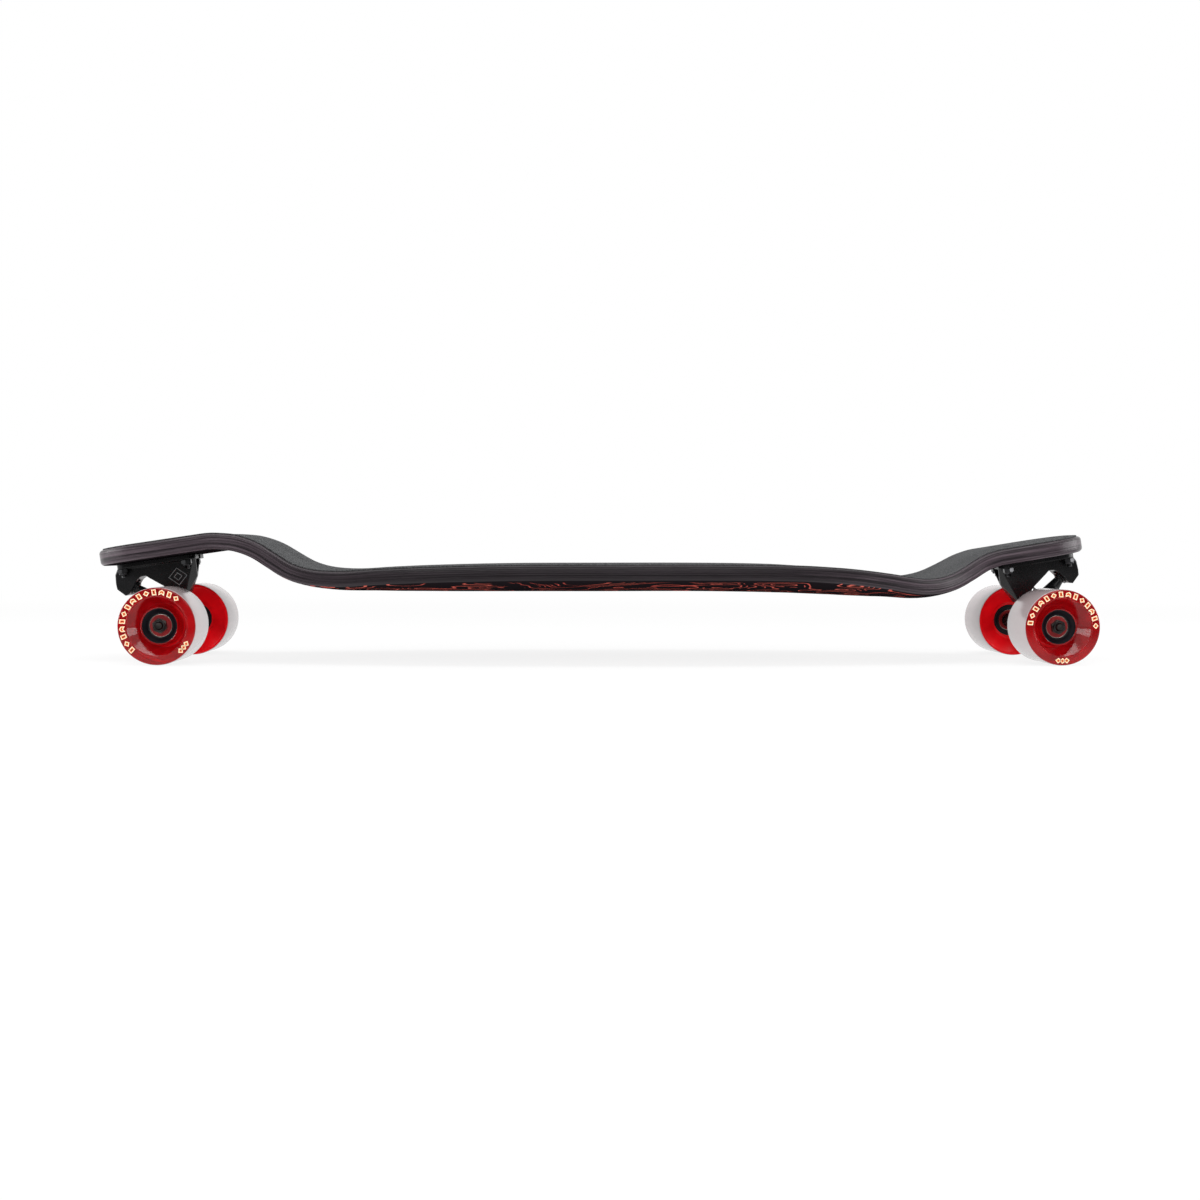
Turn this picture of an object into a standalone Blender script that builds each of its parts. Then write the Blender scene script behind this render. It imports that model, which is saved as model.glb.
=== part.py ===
"""Drop-platform longboard: a pressed ply deck with grip tape, two sprung trucks and four wheels.

Units are metres and +Z is up. X runs from the tail to the nose, +Y is the rider's left, and the
board stands on Z = 0 with the middle of its deck over X = 0.

Each truck is drawn in its own frame, with its origin in the middle of the axle, X pointing
towards the nearer tip along the mounting plate, and Z square to the plate. The steering frame
stands in the middle of the hanger's ring: its X is the steering axis, and its Z is the kingpin.
"""

import math

import bmesh
import bpy
from mathutils import Matrix, Vector

# Stance
WHEELBASE = 0.870
REAR_AXLE_X = -0.4215
AXLE_HEIGHT = 0.037
REAR_TILT = math.radians(8.6)
FRONT_TILT = math.radians(9.4)
GAP = 0.0003

# Deck
DECK_LENGTH = 0.9936
DECK_MIDDLE_X = -0.0011
DECK_THICKNESS = 0.0155
RAIL_ROUNDING = 0.0038
TIP_CORNER = 0.044
GRIP_THICKNESS = 0.0008

# The bent part of the deck between its two flat ends: distance along the board, and the height of
# the rails' top edge above the ground.
RAIL_STATIONS = (
    (-0.360, 0.1246),
    (-0.345, 0.1215),
    (-0.330, 0.1156),
    (-0.314, 0.1060),
    (-0.299, 0.0972),
    (-0.284, 0.0922),
    (-0.268, 0.0900),
    (-0.248, 0.0896),
    (-0.217, 0.0917),
    (-0.171, 0.0939),
    (-0.089, 0.0961),
    (0.014, 0.0968),
    (0.116, 0.0971),
    (0.190, 0.0963),
    (0.234, 0.0938),
    (0.260, 0.0912),
    (0.285, 0.0879),
    (0.305, 0.0847),
    (0.321, 0.0833),
    (0.336, 0.0845),
    (0.351, 0.0886),
    (0.367, 0.0966),
    (0.382, 0.1050),
    (0.393, 0.1094),
)
FLAT_TAIL_END = -0.388
FLAT_NOSE_START = 0.404

# Half the deck's width, without the rounding of its tips.
WIDTH_STATIONS = (
    (-0.495, 0.062),
    (-0.437, 0.063),
    (-0.396, 0.065),
    (-0.365, 0.071),
    (-0.340, 0.077),
    (-0.314, 0.083),
    (-0.294, 0.090),
    (-0.263, 0.099),
    (-0.220, 0.110),
    (-0.160, 0.118),
    (-0.080, 0.122),
    (0.015, 0.123),
    (0.110, 0.122),
    (0.180, 0.117),
    (0.240, 0.108),
    (0.280, 0.098),
    (0.310, 0.090),
    (0.336, 0.080),
    (0.362, 0.067),
    (0.387, 0.059),
    (0.423, 0.058),
    (0.495, 0.055),
)

# How far the middle of the deck lies below its rails.
DISH_STATIONS = (
    (-0.388, 0.0),
    (-0.350, 0.001),
    (-0.300, 0.0025),
    (-0.255, 0.0045),
    (-0.190, 0.009),
    (-0.090, 0.012),
    (0.100, 0.0125),
    (0.200, 0.013),
    (0.250, 0.0115),
    (0.280, 0.009),
    (0.305, 0.006),
    (0.340, 0.005),
    (0.370, 0.003),
    (0.404, 0.0),
)

# Mounting bolts
HOLE_PITCH_X = 0.0635
HOLE_PITCH_Y = 0.0413
HOLE_CENTRE_X = 0.01335
BOLT_RADIUS = 0.0024
BOLT_HEAD_RADIUS = 0.0048
BOLT_HEAD_HEIGHT = 0.0028
BOLT_LENGTH = 0.030
BOLT_NUT_WIDTH = 0.0095
BOLT_NUT_HEIGHT = 0.0056

# Truck
PLATE_HEIGHT = 0.0658
PLATE_THICKNESS = 0.005
PLATE_INNER_END = -0.0275
PLATE_OUTER_END = 0.0508
PLATE_HALF_WIDTH = 0.028
PLATE_CORNER = 0.010
BODY_CORNER = 0.005
PROW_TOP = (-0.0260, PLATE_HEIGHT - 0.002)
PROW_FOOT = (-0.0228, 0.0435)
PROW_KEEL = (-0.0236, 0.0435)
PROW_LEAN = math.radians(22.6)
PROW_SPREAD = 2.14
BODY_END = 0.0570
BODY_HALF_WIDTH_TOP = 0.0142
BODY_HALF_WIDTH_LOW = 0.0115
BODY_FOOT_HEIGHT = 0.022
STEERING_SLOPE = math.radians(38)
RING_CENTRE = (0.0100, 0.0180)
SEAT_DISTANCE = 0.0159
SEAT_REACH = (-0.0125, 0.0275)
PIVOT_MOUTH = 0.0381
PIVOT_MOUTH_REACH = (0.0088, -0.0085)
RING_RADIUS = 0.0170
RING_THICKNESS = 0.0090
RING_BORE = 0.0066
KINGPIN_RADIUS = 0.0047
KINGPIN_HEAD_SEAT = SEAT_DISTANCE + 0.017
KINGPIN_HEAD_HEIGHT = 0.006
KINGPIN_HEAD_WIDTH = 0.0143
KINGPIN_HEAD_POCKET = 0.0086
KINGPIN_NUT_HEIGHT = 0.0066
KINGPIN_END = -0.0246
WASHER_THICKNESS = 0.0015
BOARD_WASHER_RADIUS = 0.0130
ROAD_WASHER_RADIUS = 0.0100
BUSHING_HEIGHT = 0.0090
BUSHING_RADIUS = 0.0120
ROAD_BUSHING_RADII = (0.0092, 0.0112)
PIVOT_NOSE_END = 0.0486
PIVOT_NOSE_RADIUS = 0.0055
CUP_RADIUS = 0.0076
HANGER_SHOULDER = 0.0658
AXLE_RADIUS = 0.0039
AXLE_HALF_LENGTH = 0.0995
AXLE_NUT_WIDTH = 0.0127
AXLE_NUT_HEIGHT = 0.0074

# The side view of the baseplate's body: the arch over the hanger's stem, and the outer end from
# the foot of the pivot's seat up to the flange.
BODY_ARCH = ((0.0258, 0.0508), (0.0308, 0.0506))
BODY_OUTER_END = (
    (0.0490, 0.0338),
    (0.0563, 0.0412),
    (0.0567, 0.0470),
    (0.0560, 0.0560),
    (0.0535, 0.0605),
    (0.0504, PLATE_HEIGHT - 0.002),
)

# The hanger: (radius, distance along the steering axis) of its stem, which falls towards the ring,
# (radius, distance from the middle) of its beam, and (along the steering axis, to the side) of its
# web.
PIVOT_NOSE_ROOT = 0.0355
STEM_STATIONS = ((0.0046, 0.0365), (0.0088, 0.0110))
STEM_DROP = 0.0013
STEM_FALL = math.radians(3.8)
BEAM_STATIONS = ((0.0105, 0.0160), (0.0085, 0.0340), (0.0075, HANGER_SHOULDER))
WEB_OUTER_END = (0.0260, 0.0060)
WEB_WAIST = (-0.0090, 0.0380)
WEB_ROOT_HALF_WIDTH = 0.0480
WEB_THICKNESS = 0.0070

# Wheel
WHEEL_Y = 0.078
WHEEL_WIDTH = 0.058
TYRE_RADIUS = 0.037
CORE_RADIUS = 0.0172
CORE_HALF_WIDTH = 0.0135
CORE_COLLAR = 0.0170
CORE_LEDGE_RADIUS = 0.0130
CORE_BORE = 0.0085
DISH_RADIUS = 0.0278
INNER_DISH = (0.0345, 0.0200)
BEARING_RADIUS = 0.0110
BEARING_BORE = 0.0042
BEARING_WIDTH = 0.0070
BEARING_OUTER_FACE = 0.01185

URETHANE = ("red_urethane", (0.52, 0.012, 0.016), 0.22, 0.0)
BLACK_METAL = ("black_cast_metal", (0.022, 0.022, 0.024), 0.42, 0.6)
STEEL = ("bright_steel", (0.62, 0.62, 0.63), 0.25, 1.0)
DARK_STEEL = ("dark_steel", (0.16, 0.16, 0.17), 0.35, 1.0)
BLACK_PLASTIC = ("black_plastic", (0.018, 0.018, 0.02), 0.45, 0.0)
BLACK_URETHANE = ("black_urethane", (0.03, 0.03, 0.033), 0.4, 0.0)
STAINED_PLY = ("stained_ply", (0.035, 0.027, 0.033), 0.4, 0.0)
GRIT = ("grip_grit", (0.03, 0.03, 0.032), 0.95, 0.0)


def clear_scene():
    for obj in list(bpy.data.objects):
        bpy.data.objects.remove(obj, do_unlink=True)


def collection(name):
    made = bpy.data.collections.new(name)
    bpy.context.scene.collection.children.link(made)
    return made


def material(kind):
    name, colour, roughness, metallic = kind
    found = bpy.data.materials.get(name)
    if found:
        return found
    made = bpy.data.materials.new(name)
    made.use_nodes = True
    shader = made.node_tree.nodes["Principled BSDF"]
    shader.inputs["Base Color"].default_value = (*colour, 1.0)
    shader.inputs["Roughness"].default_value = roughness
    shader.inputs["Metallic"].default_value = metallic
    return made


# Meshes -----------------------------------------------------------------------------------------


def mesh_from(bm, name):
    mesh = bpy.data.meshes.new(name)
    bm.to_mesh(mesh)
    bm.free()
    return mesh


def evaluated_mesh(obj):
    """The object's mesh with its modifiers applied. The object is removed."""
    bpy.context.view_layer.update()
    graph = bpy.context.evaluated_depsgraph_get()
    mesh = bpy.data.meshes.new_from_object(obj.evaluated_get(graph))
    bm = bmesh.new()
    bm.from_mesh(mesh)
    bmesh.ops.remove_doubles(bm, verts=bm.verts, dist=1e-6)
    bm.to_mesh(mesh)
    bm.free()
    bpy.data.objects.remove(obj, do_unlink=True)
    return mesh


def blank(name, data):
    obj = bpy.data.objects.new(name, data)
    CUTTERS.objects.link(obj)
    obj.hide_render = True
    obj.display_type = "WIRE"
    return obj


def turned(profile, steps, closed):
    """A shape turned about Z. Its profile of (radius, height) runs down its outer side."""
    bm = bmesh.new()
    points = [bm.verts.new((radius, 0, height)) for radius, height in profile]
    for first, second in zip(points, points[1:]):
        bm.edges.new((first, second))
    if closed:
        bm.edges.new((points[-1], points[0]))
    obj = blank("profile", mesh_from(bm, "profile"))
    screw = obj.modifiers.new("turn", "SCREW")
    screw.steps = screw.render_steps = steps
    screw.use_merge_vertices = True
    screw.merge_threshold = 1e-5
    return evaluated_mesh(obj)


def ring(inner, outer, low, high, steps):
    return turned(((outer, high), (outer, low), (inner, low), (inner, high)), steps, True)


def rod(radius, low, high, steps):
    return turned(((0, high), (radius, high), (radius, low), (0, low)), steps, False)


def extruded(outline, half_thickness):
    """A flat outline in XY, thick along Z."""
    curve = bpy.data.curves.new("outline", "CURVE")
    curve.dimensions = "2D"
    curve.fill_mode = "BOTH"
    curve.extrude = half_thickness
    spline = curve.splines.new("POLY")
    spline.points.add(len(outline) - 1)
    for point, (x, y) in zip(spline.points, outline):
        point.co = (x, y, 0, 1)
    spline.use_cyclic_u = True
    return evaluated_mesh(blank("outline", curve))


def rounded(corners, radius, steps=3):
    """The outline with each corner replaced by an arc."""
    outline = []
    count = len(corners)
    for index, corner in enumerate(corners):
        here = Vector(corner)
        before = (Vector(corners[index - 1]) - here).normalized()
        after = (Vector(corners[(index + 1) % count]) - here).normalized()
        half_angle = before.angle(after) / 2
        reach = radius / math.tan(half_angle)
        centre = here + (before + after).normalized() * radius / math.sin(half_angle)
        start = here + before * reach - centre
        end = here + after * reach - centre
        for step in range(steps + 1):
            spoke = start.normalized().slerp(end.normalized(), step / steps)
            outline.append(tuple(centre + radius * spoke))
    return outline


def rectangle(low_x, high_x, half_width_y):
    return (
        (low_x, -half_width_y),
        (high_x, -half_width_y),
        (high_x, half_width_y),
        (low_x, half_width_y),
    )


def moved(mesh, matrix):
    copy = mesh.copy()
    copy.transform(matrix)
    return copy


def joined(mesh, *steps):
    """The mesh after Boolean steps of (operation, mesh, ...)."""
    base = blank("base", mesh)
    tools = []
    for operation, *shapes in steps:
        for shape in shapes:
            tool = blank("tool", shape)
            tools.append(tool)
            boolean = base.modifiers.new(operation, "BOOLEAN")
            boolean.operation = operation
            boolean.object = tool
    made = evaluated_mesh(base)
    for tool in tools:
        bpy.data.objects.remove(tool, do_unlink=True)
    return made


def hexagon(width, low, high):
    """A hexagonal prism whose flats are the width apart."""
    bm = bmesh.new()
    corner = width / math.sqrt(3)
    bmesh.ops.create_cone(
        bm,
        cap_ends=True,
        segments=6,
        radius1=corner,
        radius2=corner,
        depth=high - low,
        matrix=Matrix.Translation((0, 0, (high + low) / 2)),
    )
    return mesh_from(bm, "hexagon")


def nut(width, height, bore):
    return joined(hexagon(width, 0, height), ("DIFFERENCE", rod(bore, -0.01, 0.02, 12)))


# Nodes ------------------------------------------------------------------------------------------


def node(name, mesh, kind, parent=None, place=None, angle=35):
    """A named part: the mesh, its finish and its place under its parent."""
    if not mesh.materials:
        mesh.materials.append(material(kind))
        mesh.shade_smooth()
        mesh.set_sharp_from_angle(angle=math.radians(angle))
    obj = bpy.data.objects.new(name, mesh)
    PARTS.objects.link(obj)
    obj.parent = parent
    obj.matrix_local = place or Matrix()
    return obj


def pivot(name, place, parent=None):
    """An empty that carries parts. A moving part's empty stands on its joint's axis."""
    empty = bpy.data.objects.new(name, None)
    PARTS.objects.link(empty)
    empty.empty_display_size = 0.02
    empty.parent = parent
    empty.matrix_local = place
    return empty


# Deck -------------------------------------------------------------------------------------------


def through(stations, x, first_slope=None, last_slope=None):
    """A smooth curve through the stations, read at x."""
    xs = [station[0] for station in stations]
    ys = [station[1] for station in stations]
    last = len(xs) - 1
    index = max(0, min(last - 1, sum(1 for value in xs if value <= x) - 1))

    def slope(at):
        if at == 0 and first_slope is not None:
            return first_slope
        if at == last and last_slope is not None:
            return last_slope
        low, high = max(0, at - 1), min(last, at + 1)
        return (ys[high] - ys[low]) / (xs[high] - xs[low])

    span = xs[index + 1] - xs[index]
    t = max(0.0, min(1.0, (x - xs[index]) / span))
    rise = 2 * t**3 - 3 * t**2
    return (
        (rise + 1) * ys[index]
        - rise * ys[index + 1]
        + (t**3 - 2 * t**2 + t) * span * slope(index)
        + (t**3 - t**2) * span * slope(index + 1)
    )


def flat_end_height(x, axle_x, tilt):
    """The deck's top over a truck, where it is flat and parallel to the mounting plate."""
    top = PLATE_HEIGHT + GAP + DECK_THICKNESS
    return AXLE_HEIGHT + top / math.cos(tilt) + (x - axle_x) * math.tan(tilt)


def rail_height(x):
    if x <= FLAT_TAIL_END:
        return flat_end_height(x, REAR_AXLE_X, REAR_TILT)
    if x >= FLAT_NOSE_START:
        return flat_end_height(x, REAR_AXLE_X + WHEELBASE, FRONT_TILT)
    ends = (
        (FLAT_TAIL_END, flat_end_height(FLAT_TAIL_END, REAR_AXLE_X, REAR_TILT)),
        (FLAT_NOSE_START, flat_end_height(FLAT_NOSE_START, REAR_AXLE_X + WHEELBASE, FRONT_TILT)),
    )
    stations = (ends[0], *RAIL_STATIONS, ends[1])
    return through(stations, x, math.tan(REAR_TILT), math.tan(FRONT_TILT))


def half_width(x, inset):
    """Half the deck's width at x, with the corners of the tips rounded."""
    to_tip = DECK_LENGTH / 2 - inset - abs(x - DECK_MIDDLE_X)
    full = through(WIDTH_STATIONS, x) - inset
    corner = TIP_CORNER - inset
    if to_tip >= corner:
        return full
    cut = corner - to_tip
    return full - corner + math.sqrt(max(0.0, corner**2 - cut**2))


def deck_rows(inset):
    """Where the deck is divided along its length: closely at the tips and bends."""
    tail = DECK_MIDDLE_X - DECK_LENGTH / 2 + inset
    nose = DECK_MIDDLE_X + DECK_LENGTH / 2 - inset
    radius = TIP_CORNER - inset
    corner = [radius * (1 - math.cos(math.radians(step))) for step in range(0, 90, 22)]
    rows = [tail + cut for cut in corner]
    zones = (
        (tail + radius, FLAT_TAIL_END, 1),
        (FLAT_TAIL_END, -0.235, 13),
        (-0.235, 0.225, 8),
        (0.225, FLAT_NOSE_START, 16),
        (FLAT_NOSE_START, nose - radius, 1),
    )
    for start, end, count in zones:
        rows += [start + (end - start) * step / count for step in range(count)]
    rows.append(nose - radius)
    return rows + [nose - cut for cut in reversed(corner)]


def deck_point(x, across, inset, depth):
    """A point of the deck: across runs from -1 to 1 between the rails, and depth is below the top."""
    dish = through(DISH_STATIONS, x) if FLAT_TAIL_END < x < FLAT_NOSE_START else 0.0
    slope = (rail_height(x + 0.001) - rail_height(x - 0.001)) / 0.002
    top = Vector((x, across * half_width(x, inset), rail_height(x) - dish * (1 - across**2)))
    return top - depth * Vector((-slope, 0, 1)).normalized()


def slab(levels, columns=6):
    """A solid that follows the deck, through outlines of (inset, depth) from its top down."""
    bm = bmesh.new()
    last_row = len(deck_rows(0)) - 1
    edge = [(0, column) for column in range(columns)]
    edge += [(row, columns) for row in range(last_row)]
    edge += [(last_row, column) for column in range(columns, 0, -1)]
    edge += [(row, 0) for row in range(last_row, 0, -1)]
    inside = [(row, column) for row in range(1, last_row) for column in range(1, columns)]
    grids = []
    for index, (inset, depth) in enumerate(levels):
        rows = deck_rows(inset)
        spots = edge + inside if index in (0, len(levels) - 1) else edge
        grids.append(
            {
                (row, column): bm.verts.new(
                    deck_point(rows[row], 2 * column / columns - 1, inset, depth)
                )
                for row, column in spots
            }
        )
    for grid, turned_over in ((grids[0], False), (grids[-1], True)):
        for row in range(last_row):
            for column in range(columns):
                spots = ((row, column), (row + 1, column), (row + 1, column + 1), (row, column + 1))
                near, far, opposite, beside = [grid[spot] for spot in spots]
                for corners in ((near, far, opposite), (near, opposite, beside)):
                    bm.faces.new(corners[::-1] if turned_over else corners)
    for upper, lower in zip(grids, grids[1:]):
        for here, after in zip(edge, edge[1:] + edge[:1]):
            bm.faces.new((upper[here], upper[after], lower[after], lower[here]))
    return mesh_from(bm, "slab")


def bolt_places():
    """The four mounting bolts in the truck's frame."""
    return [
        Vector((HOLE_CENTRE_X + x * HOLE_PITCH_X / 2, y * HOLE_PITCH_Y / 2, 0))
        for x in (-1, 1)
        for y in (-1, 1)
    ]


def make_deck(truck_places):
    deck_top = PLATE_HEIGHT + GAP + DECK_THICKNESS
    sink_radius = BOLT_HEAD_RADIUS + 0.0004
    countersunk = turned(
        (
            (0, deck_top + 0.004),
            (sink_radius, deck_top + 0.004),
            (sink_radius, deck_top + 0.0004),
            (BOLT_RADIUS + 0.0004, deck_top - BOLT_HEAD_HEIGHT),
            (BOLT_RADIUS + 0.0004, deck_top - 0.02),
            (0, deck_top - 0.02),
        ),
        12,
        False,
    )
    plain = rod(sink_radius, deck_top - 0.001, deck_top + 0.004, 12)
    spots = [place @ Matrix.Translation(at) for place in truck_places for at in bolt_places()]
    quarter = [
        (RAIL_ROUNDING * (1 - math.sin(turn)), RAIL_ROUNDING * (1 - math.cos(turn)))
        for turn in (0, math.pi / 4, math.pi / 2)
    ]
    under = [(inset, DECK_THICKNESS - depth) for inset, depth in reversed(quarter)]
    board = slab((*quarter, *under))
    board = joined(board, ("DIFFERENCE", *[moved(countersunk, spot) for spot in spots]))
    tape = slab(((RAIL_ROUNDING, -GAP - GRIP_THICKNESS), (RAIL_ROUNDING, -GAP)))
    tape = joined(tape, ("DIFFERENCE", *[moved(plain, spot) for spot in spots]))
    node("deck", board, STAINED_PLY, angle=40)
    node("grip_tape", tape, GRIT, angle=40)


# Truck ------------------------------------------------------------------------------------------


def steering_frame():
    """The steering frame's place in the truck's frame."""
    centre = Matrix.Translation((RING_CENTRE[0], 0, RING_CENTRE[1]))
    return centre @ Matrix.Rotation(-STEERING_SLOPE, 4, "Y")


def in_steering(x, z):
    """A point of the truck's side view, from its place in the steering frame."""
    point = steering_frame() @ Vector((x, 0, z))
    return point.x, point.z


def baseplate():
    seat_corner, seat_end = [in_steering(x, SEAT_DISTANCE) for x in SEAT_REACH]
    pivot_seat = [in_steering(PIVOT_MOUTH, z) for z in PIVOT_MOUTH_REACH]
    side_view = (
        PROW_TOP,
        PROW_FOOT,
        seat_corner,
        seat_end,
        *BODY_ARCH,
        *pivot_seat,
        *BODY_OUTER_END,
    )
    body = extruded(side_view, 1.0)
    body.transform(Matrix.Rotation(math.pi / 2, 4, "X"))
    for vert in body.vertices:
        share = (vert.co.z - BODY_FOOT_HEIGHT) / (PLATE_HEIGHT - BODY_FOOT_HEIGHT)
        reach = BODY_HALF_WIDTH_LOW + share * (BODY_HALF_WIDTH_TOP - BODY_HALF_WIDTH_LOW)
        vert.co.y = math.copysign(reach, vert.co.y)
    plan = rounded(rectangle(-BODY_END, BODY_END, BODY_HALF_WIDTH_TOP), BODY_CORNER, 3)
    # The inner end narrows downwards to a keel.
    wedge = extruded(((0, 0), (0.1, 0.1 * PROW_SPREAD), (0.1, -0.1 * PROW_SPREAD)), 0.1)
    wedge.transform(
        Matrix.Translation((PROW_KEEL[0], 0, PROW_KEEL[1])) @ Matrix.Rotation(-PROW_LEAN, 4, "Y")
    )
    body = joined(body, ("INTERSECT", extruded(plan, 0.1), wedge))
    corners = rectangle(PLATE_INNER_END, PLATE_OUTER_END, PLATE_HALF_WIDTH)
    flange = extruded(rounded(corners, PLATE_CORNER, 4), PLATE_THICKNESS / 2)
    flange.transform(Matrix.Translation((0, 0, PLATE_HEIGHT - PLATE_THICKNESS / 2)))
    steering = steering_frame()
    along = steering @ Matrix.Rotation(math.pi / 2, 4, "Y")
    kingpin_hole = moved(rod(KINGPIN_RADIUS + GAP, 0, 0.06, 20), steering)
    # The kingpin's head goes in from the top of the plate.
    head_top = KINGPIN_HEAD_SEAT + KINGPIN_HEAD_HEIGHT + GAP
    head_pocket = moved(rod(KINGPIN_HEAD_POCKET, KINGPIN_HEAD_SEAT, head_top, 20), steering)
    head_x, head_z = in_steering(0, head_top)
    head_way = rod(KINGPIN_HEAD_POCKET, head_z, 0.075, 20)
    head_way.transform(Matrix.Translation((head_x, 0, 0)))
    cup_hole = moved(rod(CUP_RADIUS + GAP, 0.030, PIVOT_NOSE_END + 0.0022, 20), along)
    bolt_hole = rod(BOLT_RADIUS + GAP, 0.05, 0.08, 12)
    bolt_holes = [moved(bolt_hole, Matrix.Translation(at)) for at in bolt_places()]
    cuts = ("DIFFERENCE", kingpin_hole, head_pocket, head_way, cup_hole, *bolt_holes)
    return joined(flange, ("UNION", body), cuts)


def hanger():
    """The hanger in the steering frame: ring, pivot stem and the beam that holds the axle."""
    axle = steering_frame().inverted() @ Vector((0, 0, 0))
    across = Matrix.Translation(axle) @ Matrix.Rotation(math.pi / 2, 4, "X")
    along = Matrix.Rotation(math.pi / 2, 4, "Y")
    half_ring = RING_THICKNESS / 2
    disc = rod(RING_RADIUS, -half_ring, half_ring, 24)
    tip = PIVOT_NOSE_END - PIVOT_NOSE_RADIUS
    nose = [
        (
            PIVOT_NOSE_RADIUS * math.sin(math.radians(turn)),
            tip + PIVOT_NOSE_RADIUS * math.cos(math.radians(turn)),
        )
        for turn in (0, 30, 60, 90)
    ]
    nose_root = ((PIVOT_NOSE_RADIUS, PIVOT_NOSE_ROOT), (0, PIVOT_NOSE_ROOT))
    pivot_nose = turned((*nose, *nose_root), 20, False)
    stem_ends = [(0, distance) for _, distance in STEM_STATIONS]
    stem = turned((stem_ends[0], *STEM_STATIONS, stem_ends[1]), 20, False)
    stem_end = Vector((STEM_STATIONS[0][1], 0, 0))
    lowered = Matrix.Translation(stem_end - Vector((0, 0, STEM_DROP)))
    fall = Matrix.Rotation(-STEM_FALL, 4, "Y")
    stem.transform(lowered @ fall @ Matrix.Translation(-stem_end) @ along)
    half_beam = (*BEAM_STATIONS, (0, HANGER_SHOULDER))
    beam = turned((*reversed(half_beam), *[(radius, -y) for radius, y in half_beam]), 16, False)
    half_web = (WEB_OUTER_END, WEB_WAIST, (axle.x, WEB_ROOT_HALF_WIDTH))
    web_outline = (*half_web, *[(x, -y) for x, y in reversed(half_web)])
    web = extruded(web_outline, WEB_THICKNESS / 2)
    web.transform(Matrix.Translation((0, 0, -WEB_THICKNESS / 2)))
    pocket = BUSHING_RADIUS + 0.0008
    cuts = (
        "DIFFERENCE",
        rod(RING_BORE, -0.03, 0.03, 16),
        rod(pocket, half_ring, 0.03, 20),
        rod(pocket, -0.04, -half_ring, 20),
        moved(rod(AXLE_RADIUS + GAP, -0.09, 0.09, 16), across),
    )
    arms = ("UNION", stem, disc, moved(beam, across), web)
    return joined(moved(pivot_nose, along), arms, cuts)


def bushing(low_radius, high_radius, low, high):
    """A urethane bushing on the kingpin, from its road end up to its board end."""
    bore = KINGPIN_RADIUS + GAP
    waist = max(low_radius, high_radius)
    return turned(
        (
            (high_radius - 0.0008, high),
            (high_radius, high - 0.0008),
            (waist, (low + high) / 2),
            (low_radius, low + 0.0008),
            (low_radius - 0.0008, low),
            (bore, low),
            (bore, high),
        ),
        20,
        True,
    )


def kingpin():
    shank = rod(KINGPIN_RADIUS, KINGPIN_END, KINGPIN_HEAD_SEAT + 0.001, 20)
    head_top = KINGPIN_HEAD_SEAT + KINGPIN_HEAD_HEIGHT
    head = hexagon(KINGPIN_HEAD_WIDTH, KINGPIN_HEAD_SEAT + GAP, head_top)
    return joined(head, ("UNION", shank))


def bolt(top):
    """A flat-headed mounting bolt, from the top of its head down."""
    cone_end = top - BOLT_HEAD_HEIGHT
    end = top - BOLT_LENGTH
    return turned(
        (
            (0, top),
            (BOLT_HEAD_RADIUS, top),
            (BOLT_RADIUS, cone_end),
            (BOLT_RADIUS, end + 0.0005),
            (BOLT_RADIUS - 0.0005, end),
            (0, end),
        ),
        12,
        False,
    )


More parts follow.
